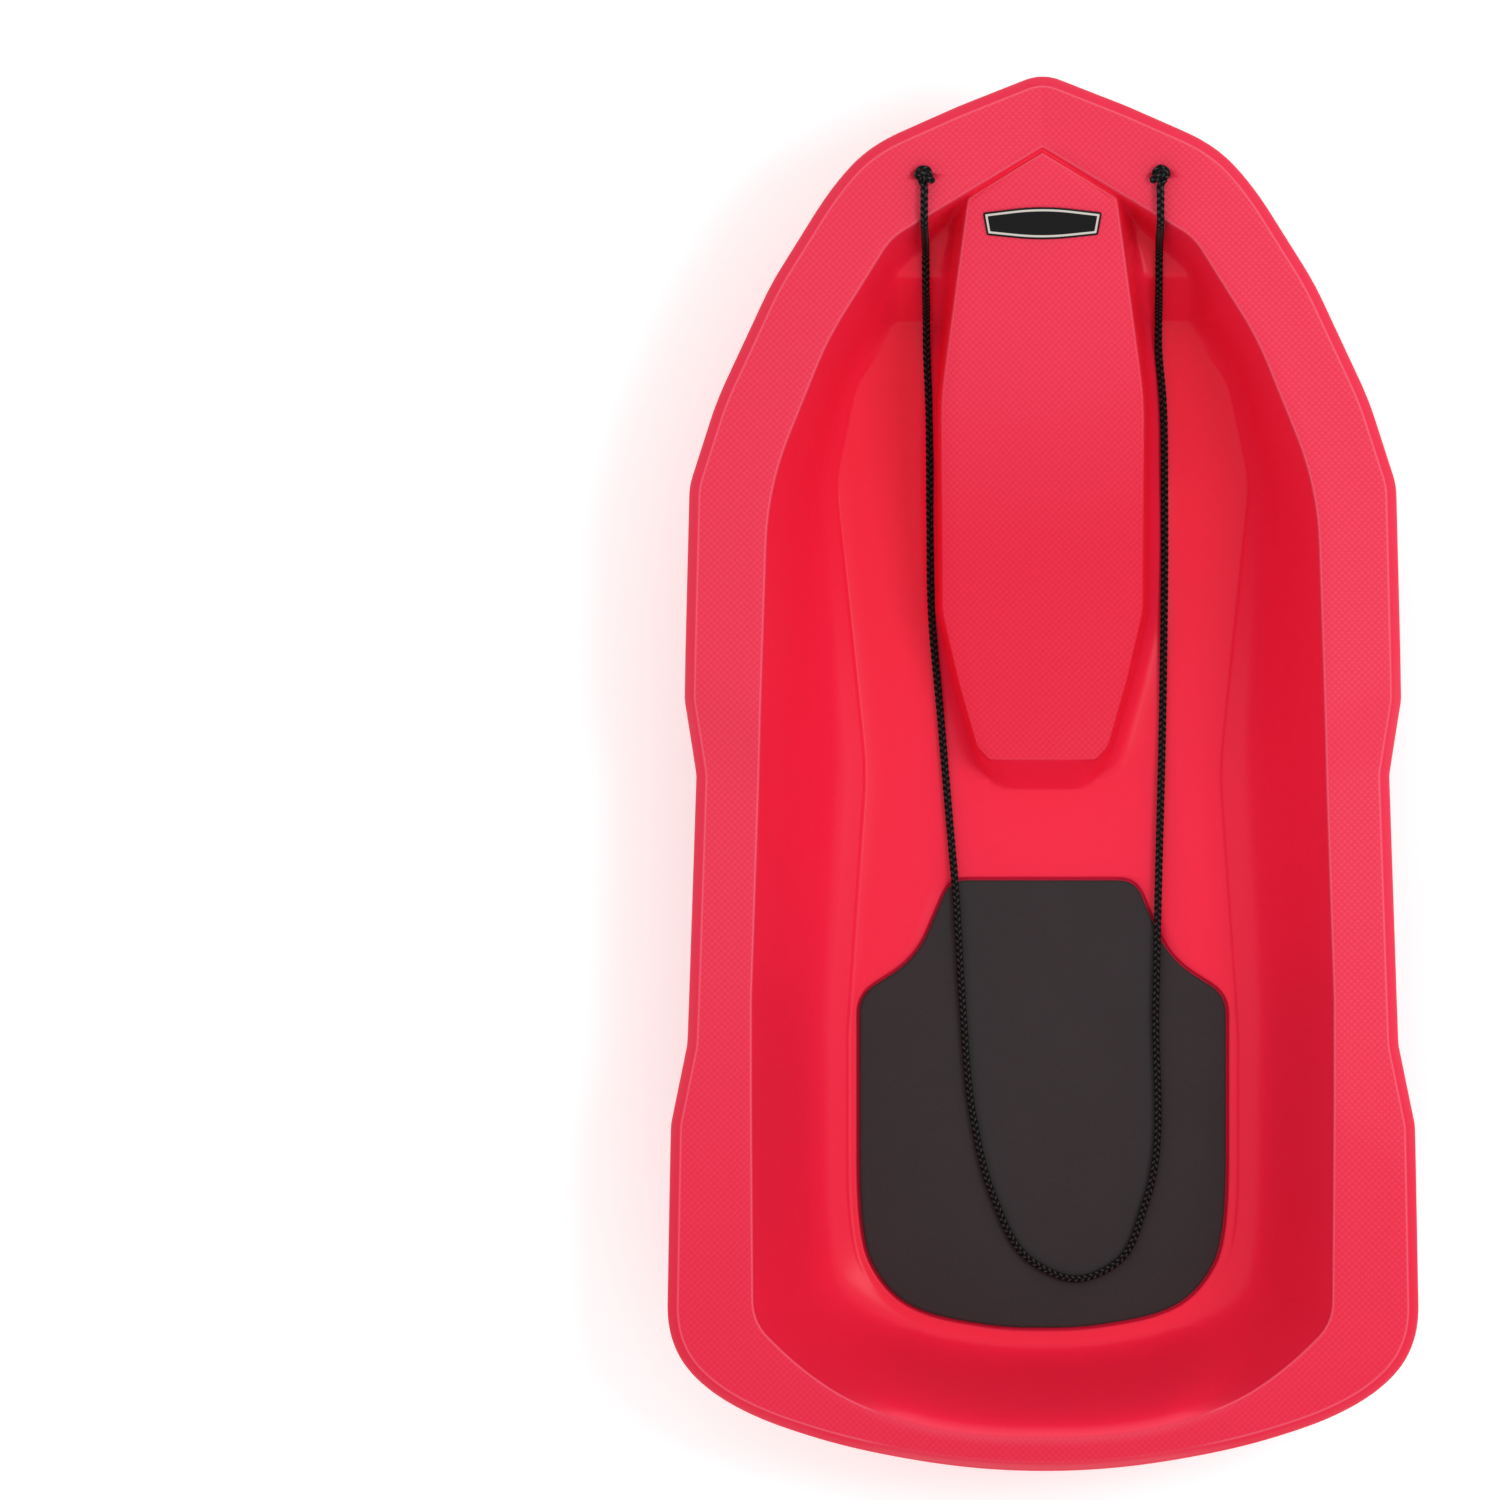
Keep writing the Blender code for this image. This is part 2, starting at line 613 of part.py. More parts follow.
def across_line(y, half):
    """A line across the sled at y, from side to side."""
    return divided(np.array([(-half, y), (half, y)]), closed=False)


def material(name, colour, roughness):
    """Principled material in one colour; colour is linear red, green and blue."""
    made = bpy.data.materials.new(name)
    made.use_nodes = True
    made.diffuse_color = (*colour, 1)
    shader = made.node_tree.nodes["Principled BSDF"]
    shader.inputs["Base Color"].default_value = (*colour, 1)
    shader.inputs["Roughness"].default_value = roughness
    shader.inputs["Metallic"].default_value = 0.0
    return made


def mesh_object(name, vertices, faces, made_of):
    """Object from vertices and faces, its faces turned to point out and shaded smooth."""
    mesh = bpy.data.meshes.new(name)
    mesh.from_pydata([tuple(v) for v in vertices], [], [tuple(f) for f in faces])
    mesh.materials.append(made_of)
    mesh.shade_smooth()
    mesh.set_sharp_from_angle(angle=math.radians(35))
    thing = bpy.data.objects.new(name, mesh)
    bpy.context.scene.collection.objects.link(thing)
    return thing


def close_slab(thing, bottom):
    """Close a sheet into a slab: copy its faces down to the bottom height of each point."""
    work = bmesh.new()
    work.from_mesh(thing.data)
    made = bmesh.ops.extrude_face_region(work, geom=work.faces[:])
    copied = [v for v in made["geom"] if isinstance(v, bmesh.types.BMVert)]
    heights = bottom(np.array([(v.co.x, v.co.y) for v in copied]))
    for vertex, height in zip(copied, heights):
        vertex.co.z = height
    bmesh.ops.recalc_face_normals(work, faces=work.faces[:])
    work.to_mesh(thing.data)
    work.free()


def make_hull():
    """The moulded sheet: plan triangles lifted to the height formula, walled, with the rope's holes."""
    side = divided(rounded(console_side_corners(), closed=False), closed=False)
    fold = divided(np.array([(0, NOSE - LIP_WIDTH), (0, APEX_Y)]), closed=False)
    lines = [(inset(RIM, LIP_WIDTH * share), True) for share in (0.25, 0.6, 1.0)]
    lines += [(line, True) for line in (COCKPIT, FOOT, CONSOLE_TOP, POCKET, POCKET_FOOT)]
    lines += [(inset(FOOT, CREASE_WIDTH * share), True) for share in (0.45, 1.0)]
    lines += [(side, False), (side * (-1, 1), False), (fold, False)]
    lines += [(across_line(y, LEDGE_HALF), False) for y in (LEDGE_Y, STEP_Y)]
    free = np.concatenate([free_points(RIM, lines, FREE_CLEAR), wall_points(lines)])
    plan, faces = welded(*triangulated(RIM, lines, free))
    vertices = np.column_stack([plan, sheet_top(plan)])
    hull = mesh_object("hull", vertices, faces, material("red_hdpe", HULL_RED, 0.45))
    wall = hull.modifiers.new("wall", "SOLIDIFY")
    wall.thickness = SHEET
    wall.offset = -1
    wall.use_even_offset = True
    for sign in (-1, 1):
        hole = hull.modifiers.new("rope_hole", "BOOLEAN")
        hole.operation = "DIFFERENCE"
        hole.solver = "EXACT"
        hole.object = hole_cutter(sign)
    return hull


def hole_cutter(sign):
    """Upright cutter for one rope hole through the rim."""
    work = bmesh.new()
    bmesh.ops.create_cone(work, cap_ends=True, segments=16, radius1=HOLE_DIAMETER / 2,
                          radius2=HOLE_DIAMETER / 2, depth=CUTTER_DEPTH)
    mesh = bpy.data.meshes.new("rope_hole_cutter")
    work.to_mesh(mesh)
    work.free()
    cutter = bpy.data.objects.new("rope_hole_cutter", mesh)
    cutter.location = (sign * HOLE_HALF, HOLE_Y, KNOT_TOP)
    cutter.hide_render = True
    cutter.display_type = "WIRE"
    bpy.context.scene.collection.objects.link(cutter)
    return cutter


def make_pad():
    """Foam pad in the pocket, with a rounded edge and a low crown."""
    crown = inset(PAD, PAD_EDGE * 4)
    lines = [(inset(PAD, PAD_EDGE * share), True) for share in (0.3, 1.0)] + [(crown, True)]
    plan, faces = triangulated(PAD, lines, free_points(crown, lines, FREE_CLEAR))

    def top(points):
        depth = distance(points, PAD)
        edge = np.clip(1 - depth / PAD_EDGE, 0, 1)
        crowned = PAD_CROWN * smooth(depth / (PAD_WIDTH / 3))
        return SHEET + GAP + PAD_THICKNESS - PAD_CROWN + crowned - PAD_EDGE * (1 - np.sqrt(1 - edge ** 2))

    pad = mesh_object("seat_pad", np.column_stack([plan, top(plan)]), faces,
                      material("charcoal_foam", FOAM_GREY, 0.85))
    close_slab(pad, lambda points: np.full(len(points), SHEET + GAP))
    return pad


def make_plate():
    """Blank name plate that follows the console's crown."""
    half, depth = PLATE_WIDTH / 2, PLATE_DEPTH / 2
    y = NOSE - PLATE_BACK - depth
    outline = divided(rounded([
        (-half, y + depth, PLATE_RADIUS), (half, y + depth, PLATE_RADIUS),
        (half, y - depth, PLATE_RADIUS), (-half, y - depth, PLATE_RADIUS),
    ]))
    middle = [(across_line(y, half - PLATE_RADIUS), False)]
    plan, faces = triangulated(outline, middle, np.empty((0, 2)))
    seat = console_height(plan) + GAP
    plate = mesh_object("name_plate", np.column_stack([plan, seat + PLATE_THICKNESS]), faces,
                        material("black_plate", PLATE_BLACK, 0.35))
    close_slab(plate, lambda points: console_height(points) + GAP)
    return plate


def rope_route():
    """Middle line of the rope: down from the left hole, along the floor, round, and up at the right."""
    left = [(-HOLE_HALF, y, z) for y, z in ROPE_DROP]
    right = [(HOLE_HALF, y, z) for y, z in reversed(ROPE_DROP)]
    return [Vector(p) for p in left + ROPE_RUN + right]


def smooth_route(route, steps):
    """Points of a smooth curve through the route's points, with a number of steps between each two."""
    ends = [route[0] * 2 - route[1]] + route + [route[-1] * 2 - route[-2]]
    points = []
    for a, b, c, d in zip(ends, ends[1:], ends[2:], ends[3:]):
        # Tangents at b and c, for sides of unlike length
        ab, bc, cd = [(q - p).length for p, q in ((a, b), (b, c), (c, d))]
        start = ((b - a) / ab * bc + (c - b) / bc * ab) * bc / (ab + bc)
        end = ((c - b) / bc * cd + (d - c) / cd * bc) * bc / (bc + cd)
        for k in range(steps):
            t = k / steps
            points.append(b * (1 + 2 * t) * (1 - t) ** 2 + start * t * (1 - t) ** 2
                          + c * t * t * (3 - 2 * t) + end * t * t * (t - 1))
    return points + [route[-1]]


def make_rope():
    """Tow rope: a bevelled curve along its route, from knot to knot."""
    route = smooth_route(rope_route(), ROPE_STEPS)
    line = bpy.data.curves.new("tow_rope", "CURVE")
    line.dimensions = "3D"
    line.bevel_depth = ROPE_DIAMETER / 2
    line.bevel_resolution = 3
    line.use_fill_caps = True
    spline = line.splines.new("POLY")
    spline.points.add(len(route) - 1)
    for point, place in zip(spline.points, route):
        point.co = (*place, 1)
    spline.use_smooth = True
    line.materials.append(material("black_rope", ROPE_BLACK, 0.8))
    rope = bpy.data.objects.new("tow_rope", line)
    bpy.context.scene.collection.objects.link(rope)
    return rope


def make_knot(name, sign, under):
    """Stopper knot at a hole: a ball with three winding lobes; the lower one has the stub in the hole."""
    rim = float(sheet_top(np.array([(sign * HOLE_HALF, HOLE_Y)]))[0])
    middle = KNOT_HEIGHT / 2 + KNOT_SEAT
    centre = rim - SHEET - middle if under else rim + middle
    rings = []
    for k in range(1, KNOT_RINGS):
        turn = math.pi * k / KNOT_RINGS
        radius = KNOT_DIAMETER / 2 * math.sin(turn)
        if not under or turn < math.pi / 2 or radius > ROPE_DIAMETER / 2 * 1.2:
            rings.append((-KNOT_HEIGHT / 2 * math.cos(turn), radius, math.sin(turn)))
    top = KNOT_HEIGHT / 2
    if under:
        top = rim - centre
        rings.append((KNOT_HEIGHT / 2, ROPE_DIAMETER / 2, 0.0))
        rings.append((top, ROPE_DIAMETER / 2, 0.0))
    vertices = [(0, 0, -KNOT_HEIGHT / 2)]
    for z, radius, lump in rings:
        for k in range(KNOT_SIDES):
            turn = 2 * math.pi * k / KNOT_SIDES
            lobes = 1 + KNOT_LUMP * lump * math.cos(3 * turn + 4 * z / KNOT_HEIGHT)
            vertices.append((sign * radius * lobes * math.cos(turn), radius * lobes * math.sin(turn), z))
    vertices.append((0, 0, top))
    faces = []
    for k in range(KNOT_SIDES):
        after = (k + 1) % KNOT_SIDES
        faces.append((0, 1 + after, 1 + k)[::sign])
        for ring in range(len(rings) - 1):
            low = 1 + ring * KNOT_SIDES
            faces.append((low + k, low + after, low + KNOT_SIDES + after, low + KNOT_SIDES + k)[::sign])
        last = 1 + (len(rings) - 1) * KNOT_SIDES
        faces.append((last + k, last + after, len(vertices) - 1)[::sign])
    knot = mesh_object(name, vertices, faces, material("black_rope_" + name, ROPE_BLACK, 0.8))
    knot.location = (sign * HOLE_HALF, HOLE_Y, centre)
    return knot


def main():
    """Build every piece."""
    for thing in list(bpy.data.objects):
        bpy.data.objects.remove(thing, do_unlink=True)
    make_hull()
    make_pad()
    make_plate()
    make_rope()
    for sign, side in ((-1, "left"), (1, "right")):
        make_knot("knot_upper_" + side, sign, under=False)
        make_knot("knot_under_" + side, sign, under=True)


if __name__ == "__main__":
    main()
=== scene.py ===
"""Moulded toboggan with a foam seat pad and a tow rope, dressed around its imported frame.

The hull is one grid of rows across the sled. Its columns keep to the plan outlines of the rim, the
walls, the console and the seat pocket, and a height formula lifts every point, so the sheet is a
function of two parameters. Pad and plate are made the same way, and the rope and its knots are tubes
carried along a smooth route.
"""

import math

import bmesh
import bpy
import numpy as np
from bpy.props import FloatProperty, FloatVectorProperty, PointerProperty
from mathutils import Matrix, Vector


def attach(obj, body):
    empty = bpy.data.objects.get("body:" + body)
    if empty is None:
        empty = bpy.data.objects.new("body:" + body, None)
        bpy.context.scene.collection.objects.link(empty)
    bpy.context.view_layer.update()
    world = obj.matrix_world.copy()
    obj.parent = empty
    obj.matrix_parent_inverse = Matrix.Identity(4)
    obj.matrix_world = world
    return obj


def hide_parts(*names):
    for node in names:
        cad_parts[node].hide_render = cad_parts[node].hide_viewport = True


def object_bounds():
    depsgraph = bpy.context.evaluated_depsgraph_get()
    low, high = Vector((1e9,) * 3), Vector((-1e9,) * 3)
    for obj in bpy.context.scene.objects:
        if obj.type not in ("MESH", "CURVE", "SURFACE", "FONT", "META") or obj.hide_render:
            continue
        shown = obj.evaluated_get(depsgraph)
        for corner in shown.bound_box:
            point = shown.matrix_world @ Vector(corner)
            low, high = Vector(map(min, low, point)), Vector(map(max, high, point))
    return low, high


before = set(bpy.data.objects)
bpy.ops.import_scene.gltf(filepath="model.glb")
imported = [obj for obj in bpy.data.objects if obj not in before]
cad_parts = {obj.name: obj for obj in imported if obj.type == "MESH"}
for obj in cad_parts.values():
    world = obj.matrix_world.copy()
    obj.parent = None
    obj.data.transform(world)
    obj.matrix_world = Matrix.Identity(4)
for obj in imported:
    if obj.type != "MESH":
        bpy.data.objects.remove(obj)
CAD_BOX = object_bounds()

bl_info = {
    "name": "Toboggan",
    "version": (1, 0, 0),
    "blender": (4, 5, 0),
    "location": "3D View > Sidebar > Toboggan",
    "description": "Makes a moulded toboggan with its seat pad, name plate and tow rope",
    "category": "Add Mesh",
}

# Overall size, the wall of the sheet and the gap between pieces that touch, as in the part's source
LENGTH = 1.219
WIDTH = 0.657
SHEET = 0.0035
GAP = 0.0003
HALF = WIDTH / 2
NOSE = LENGTH / 2
TAIL = -LENGTH / 2

# Seat pad; rings round its side at shares of its height; and its soft waves, each with its pace in
# radians for a metre and its start
PAD_LENGTH = 0.3995
PAD_WIDTH = 0.3272
PAD_THICKNESS = 0.008
PAD_CROWN = 0.0012
PAD_EDGE = 0.003
PAD_CLEARANCE = 0.001
PAD_UNDERCUT = 0.9985
PAD_LEVELS = (0.45, 0.1)
PAD_WAVES = [(61, 1.3), (47, 0.4)]
PAD_CALM = 0.02

# Pocket of the pad, the border between it and the foot of the walls, and the blank plate
POCKET_DEPTH = 0.003
POCKET_EDGE = 0.002
POCKET_GROWTH = PAD_CLEARANCE + POCKET_EDGE
PAD_BORDER = 0.0125
PLATE_THICKNESS = 0.0012
PLATE_BEVEL = 0.0005
PLATE_TOP_Y = NOSE - 0.1135
PLATE_FOOT_Y = PLATE_TOP_Y - 0.0275

# Tow rope, its holes and the tool that drills them
ROPE_DIAMETER = 0.0065
HOLE_DIAMETER = 0.0085
HOLE_HALF = 0.1029
DRILL_DEPTH = 0.05
DRILL_SIDES = 32

# Places along the sled, from the tail to the nose
HIP_Y = TAIL + 0.1064
PAD_TAIL_Y = TAIL + 0.1165
PAD_NOSE_Y = PAD_TAIL_Y + PAD_LENGTH
GRIP_END_Y = NOSE - 0.915
GRIP_REAR_Y = NOSE - 0.845
GRIP_FRONT_Y = NOSE - 0.6092
GRIP_START_Y = NOSE - 0.5436
GRIP_Y = (GRIP_FRONT_Y + GRIP_REAR_Y) / 2
CORNER_Y = NOSE - 0.3557
LEDGE_Y = NOSE - 0.168
STEP_RUN = 0.0395
STEP_Y = LEDGE_Y - STEP_RUN
HOLE_Y = NOSE - 0.0855
APEX_Y = NOSE - 0.062

# Console between the legs, from the rim's apex to the middle of the floor
CONSOLE_STEP = 0.0035
CONSOLE_NOSE_HALF = 0.0656
CONSOLE_HALF = 0.0900
CONSOLE_TAIL_HALF = 0.0471
CONSOLE_FOOT_NOSE_HALF = CONSOLE_NOSE_HALF + 0.0124
CONSOLE_FOOT_HALF = CONSOLE_HALF + 0.0060
CONSOLE_HEEL = 0.012
CONSOLE_TAPER = 0.106
CONSOLE_CROWN = 0.004
CONSOLE_TAIL_Y = APEX_Y - 0.534
CONSOLE_END_Y = CONSOLE_TAIL_Y - 0.026

# Radii of the outlines' long bends
BOW_RADIUS = 0.300
GRIP_RADIUS = 0.035
TAIL_RADIUS = 0.700
WELL_TAIL_RADIUS = 0.400
PAD_TAIL_RADIUS = 0.300

# Outlines: corners of the +X half (x, y, radius of the turn), from the nose to the tail
RIM_CORNERS = [
    (0, NOSE + 0.0031, 0.042),                    # tip of the nose
    (0.0734, NOSE - 0.0262, BOW_RADIUS),          # brow
    (0.1503, NOSE - 0.0603, 0.140),               # shoulder
    (0.1835, NOSE - 0.0953, BOW_RADIUS),          # cheek
    (HALF - 0.0916, NOSE - 0.180, BOW_RADIUS),    # bow
    (HALF - 0.0440, NOSE - 0.2814, BOW_RADIUS),   # flare
    (HALF - 0.0200, CORNER_Y, 0.060),             # where the bow meets the side
    (HALF - 0.0153, GRIP_START_Y, GRIP_RADIUS),   # grip dip
    (HALF - 0.0253, GRIP_FRONT_Y, GRIP_RADIUS),
    (HALF - 0.0175, GRIP_REAR_Y, GRIP_RADIUS),
    (HALF - 0.0035, GRIP_END_Y, GRIP_RADIUS),
    (HALF, HIP_Y, 0.090),                         # widest place
    (HALF - 0.0549, TAIL + 0.0542, TAIL_RADIUS),  # tail
    (HALF - 0.1646, TAIL + 0.018, TAIL_RADIUS),
    (0.0546, TAIL, TAIL_RADIUS),
]
COCKPIT_CORNERS = [
    (0, APEX_Y, 0),                              # apex
    (0.1312, NOSE - 0.1409, 0.055),              # shoulder
    (0.1862, NOSE - 0.2279, BOW_RADIUS),         # bow
    (0.2391, NOSE - 0.3581, 0.280),              # where the bow meets the side
    (HALF - 0.0743, NOSE - 0.8058, BOW_RADIUS),  # side
    (HALF - 0.0763, TAIL + 0.1317, 0.045),       # hip
    (0.2098, TAIL + 0.0902, WELL_TAIL_RADIUS),   # tail
    (0.160, TAIL + 0.0578, WELL_TAIL_RADIUS),
    (0.0734, TAIL + 0.0311, WELL_TAIL_RADIUS),
]
PAD_CORNERS = [
    (0.0826, PAD_NOSE_Y, 0.022),                                    # narrow front between the legs
    (0.1125, PAD_NOSE_Y - 0.0702, 0.085),                           # neck
    (PAD_WIDTH / 2, PAD_NOSE_Y - 0.1026, 0.030),                    # shoulder
    (PAD_WIDTH / 2, PAD_TAIL_Y + 0.0803, PAD_TAIL_RADIUS),
    (PAD_WIDTH / 2 - 0.022, PAD_TAIL_Y + 0.0361, PAD_TAIL_RADIUS),
    (PAD_WIDTH / 2 - 0.0564, PAD_TAIL_Y + 0.012, PAD_TAIL_RADIUS),
    (0.0339, PAD_TAIL_Y, PAD_TAIL_RADIUS),
]
FOOT_CORNERS = [
    (0, APEX_Y - 0.0195, 0),                             # wall ahead of the ledge
    (0.081, APEX_Y - 0.0585, 0),
    (0.1295, LEDGE_Y, 0.012),                            # ledge
    (0.1295, STEP_Y, 0.008),                             # step
    (0.168, NOSE - 0.2595, 0.060),                       # knee
    (0.187, NOSE - 0.3475, 0.120),                       # thigh
    (0.160, NOSE - 0.6045, BOW_RADIUS),                  # waist
    (PAD_WIDTH / 2 + PAD_BORDER, NOSE - 0.8395, 0.200),
]
PLATE_CORNERS = [
    (0, PLATE_TOP_Y + 0.0015, 1.0),
    (0.052, PLATE_TOP_Y - 0.0045, 0.0022),
    (0.0485, PLATE_FOOT_Y + 0.00375, 0.0022),
    (0, PLATE_FOOT_Y - 0.00125, 1.0),
]

# Rim: the fall to the outside, the turned-down lip, the fold at the nose, and how much longer the grip
# dips are at the outer edge
RIM_FALL = 0.004
LIP_WIDTH = 0.0075
LIP_DROP = 0.0065
LIP_POWER = 1.15
NOSE_FOLD = 0.009
NOSE_FOLD_HALF = 0.120
GRIP_SPREAD = 0.22
GRIP_REACH = 0.30
GRIP_FADE = 0.08

# Walls, the crease where the shelf beside the floor breaks down to it, and the tail's soft turn
WALL_POWER = 2.2
CREASE_WIDTH = 0.0045
CREASE_DROP = 0.004
CREASE_FRONT_FADE = 0.050
CREASE_REAR_FADE = 0.100
SOFT_TAIL_HALF = 0.200
SOFT_TAIL_FADE = 0.090
SOFT_TAIL_Y = TAIL + 0.160
SOFT_TAIL_RISE = 0.060
TAIL_ROLL = 0.010

# Heights above the ground at places along the sled (y, z)
SIDE_TOP = 0.185
GRIP_TOP = 0.166
LEDGE_TOP = 0.100
LEDGE_TILT = 0.10
STEP_FOOT_TOP = 0.050
FLOOR_TOP = SHEET + POCKET_DEPTH
RIM_LINE = [
    (TAIL, 0.176), (HIP_Y, SIDE_TOP), (GRIP_END_Y, SIDE_TOP), (GRIP_REAR_Y + 0.070, GRIP_TOP),
    (GRIP_FRONT_Y - 0.025, GRIP_TOP), (GRIP_START_Y, SIDE_TOP), (CORNER_Y, 0.187), (HOLE_Y, 0.205),
    (NOSE, 0.215),
]
FLOOR_LINE = [
    (TAIL, FLOOR_TOP), (PAD_NOSE_Y, FLOOR_TOP), (CONSOLE_TAIL_Y, SHEET),
    (CONSOLE_TAIL_Y + CONSOLE_TAPER, SHEET), (CORNER_Y, SHEET + 0.012), (STEP_Y - 0.070, SHEET + 0.030),
    (STEP_Y, STEP_FOOT_TOP),
]
CONSOLE_LINE = [
    (CONSOLE_TAIL_Y, 0.046), (CONSOLE_TAIL_Y + CONSOLE_TAPER, 0.062), (CORNER_Y, 0.105), (LEDGE_Y, 0.175),
    (APEX_Y, 0.199),
]

# Middle line of the rope where it falls from a knot to the floor, the same at both sides (y, z)
ROPE_DROP = [
    (0.5137, 0.2082), (0.5035, 0.2086), (0.4928, 0.2084), (0.4871, 0.2071), (0.4825, 0.2037),
    (0.4795, 0.1988), (0.4780, 0.1925), (0.4738, 0.1600), (0.4685, 0.1300), (0.4638, 0.1165),
    (0.4560, 0.1088), (0.4455, 0.1058), (0.4337, 0.1005), (0.4040, 0.0607), (0.3820, 0.0518),
]

# Middle line of the rope from the left drop, round the loop on the pad, to the right drop (x, y, z)
ROPE_RUN = [
    (-0.1010, 0.3300, 0.0379), (-0.1003, 0.2300, 0.0168), (-0.0990, 0.1450, 0.0086),
    (-0.0912, 0.0560, 0.0074), (-0.0830, -0.0400, 0.0088), (-0.0770, -0.1080, 0.0148),
    (-0.0712, -0.2050, 0.0152), (-0.0618, -0.3040, 0.0155), (-0.0450, -0.3720, 0.0154),
    (-0.0110, -0.4320, 0.0151), (0.0317, -0.4488, 0.0149), (0.0690, -0.4320, 0.0151),
    (0.0915, -0.3820, 0.0153), (0.1010, -0.2000, 0.0152), (0.1030, -0.1130, 0.0148),
    (0.1075, 0.0700, 0.0074), (0.1088, 0.2400, 0.0178), (0.1070, 0.3350, 0.0393),
]

# Stopper knot, in rope diameters off the hole's middle and the sheet: the ring that the rope lies in,
# how far it stands aside, its climb and its turns in degrees, then the places of the cross-over and the
# short end (out of the cockpit's side, to the nose, off the sheet)
KNOT_RING = 0.74
KNOT_ASIDE = 0.08
KNOT_LOW = 0.56
KNOT_HIGH = 1.05
KNOT_TURNS = (-110, 200, 11)
KNOT_STUB = [(0, 0, -0.7), (0, -0.1, 0.2)]
KNOT_OVER = [(0.36, 0.12, 1.55), (-0.30, -0.36, 1.52)]
KNOT_END = [(-0.98, -0.80, 1.00), (-1.28, -0.90, 0.62)]
KNOT_TIGHTNESS = 0.97

# Marks on the hull: widths over which they fade; shares of the highlight colour that they take, as a
# painted sheen on the diamonds' crests (that share grows with paleness), a painted highlight line just
# inside the grained faces' edges and a painted highlight band on the tail's rounded edge; how fast the
# plate's printed line begins (for a metre); and how much painted sheen the grained faces keep at the
# tail and at the console's foot, where that begins and over what length
GRAIN_EDGE = 0.0012
GRAIN_BLEED = 0.0015
CREST_SHEEN_SHARE = 0.05
CREST_SHEEN_GAIN = 0.07
HIGHLIGHT_LINE_SHARE = 0.36
TAIL_HIGHLIGHT_BAND = 0.010
TAIL_HIGHLIGHT_SHARE = 0.12
LINE_CRISPNESS = 8000.0
PALE_TAIL = 0.20
PALE_TAIL_Y = NOSE - 1.100
PALE_TAIL_FADE = 0.450
PALE_FOOT = 0.15
PALE_FOOT_Y = NOSE - 0.210
PALE_FOOT_FADE = 0.220
PALE_FOOT_HALF = 0.160
PALE_FOOT_SIDE = 0.030

# Light: the share of the plain light that comes from the room, the floor's glow for the camera, the
# lamp's place, its share of the plain light on level ground, and its size, and how far the camera sees
ROOM_LIGHT = 0.80
FLOOR_GLOW = 0.35
LAMP_PLACE = (2.10, 0.40, 3.90)
LAMP_LIGHT = 0.20
LAMP_SIZE = 1.3
CAMERA_REACH = 100

# Fineness of the meshes
TURN_STEPS = 12
TURN_SHARE = 0.49
RING_SAMPLES = 8
EDGE_RINGS = 3
EDGE_BAND = 0.0022
ROPE_SIDES = 24
ROPE_RING_STEP = 0.0009
KNOT_RING_STEP = 0.0006
ROUTE_STEPS = 40
ALONG_X = 0.9
NOUGHT = 1e-9
MERGE = 1e-6

# Rounding of the hull's edges near the pocket's edge: where it is less, over what reach, by what share
POCKET_NEAR = 1.6
POCKET_REACH = 0.004
POCKET_SHARPNESS = 0.55

# Rows of the hull's grid from the tail to the nose: where each band starts, and the step in it
HULL_ROWS = [
    (TAIL, 0.00012), (TAIL + 0.0006, 0.0003), (TAIL + 0.002, 0.0006), (TAIL + 0.006, 0.0012),
    (TAIL + 0.012, 0.0028), (PAD_TAIL_Y - 0.017, 0.0012), (PAD_TAIL_Y + 0.010, 0.0048),
    (PAD_NOSE_Y - 0.004, 0.0010), (PAD_NOSE_Y + POCKET_GROWTH + 0.002, 0.0050),
    (CONSOLE_END_Y - 0.003, 0.0015), (CONSOLE_TAIL_Y, 0.0012), (CONSOLE_TAIL_Y + 0.005, 0.0050),
    (STEP_Y - 0.010, 0.0017), (STEP_Y, 0.0022), (LEDGE_Y, 0.0016), (LEDGE_Y + 0.006, 0.0024),
    (APEX_Y - 0.014, 0.0010), (APEX_Y + 0.005, 0.0030), (NOSE - 0.011, 0.0009), (NOSE - 0.002, 0.0003),
    (NOSE - 0.0006, 0.00012),
]

# Rows of the pad's grid, tail to nose
PAD_ROWS = [
    (PAD_TAIL_Y, 0.00012), (PAD_TAIL_Y + 0.0006, 0.0003), (PAD_TAIL_Y + 0.002, 0.0007),
    (PAD_TAIL_Y + 0.008, 0.003), (PAD_NOSE_Y - 0.004, 0.0005),
]

# Columns from the middle to the rim's edge: how many between each two guides, and the power that crowds
# them towards the outer guide; the same for the pad and the plate, which have no guides but their edge
HULL_COLUMNS = [
    (6, 1), (3, 1), (3, 1), (3, 1), (6, 1), (4, 1), (9, 1.5),
    (3, 1), (3, 1), (6, 1), (2, 1), (2, 1), (3, 1),
]
PAD_COLUMNS = (33, 2.2)
PLATE_COLUMNS = (24, 1.8)
PLATE_ROWS = 61

# Least share of the rim's half width that a guide keeps to behind the console, over a length that it
# takes to come in, and how far ahead of the apex the walls' guides still run
REAR_FADE = 0.05
APEX_MARGIN = 0.03
LEAST = {"inner": 0.10, "outer": 0.15, "crease": 0.26, "foot": 0.34, "wall": 0.51, "cockpit": 0.52,
         "rim": 0.53, "lip": 0.93}


def smooth(t):
    """Ease from 0 to 1: three times t squared less twice t cubed."""
    t = np.clip(t, 0.0, 1.0)
    return t * t * (3 - 2 * t)


def cubic(t, a, b, leaving, arriving):
    """Cubic from a to b over t from 0 to 1, with its slopes at both ends."""
    leave = a * (1 + 2 * t) * (1 - t) ** 2 + leaving * t * (1 - t) ** 2
    return leave + (b * t * t * (3 - 2 * t) + arriving * t * t * (t - 1))


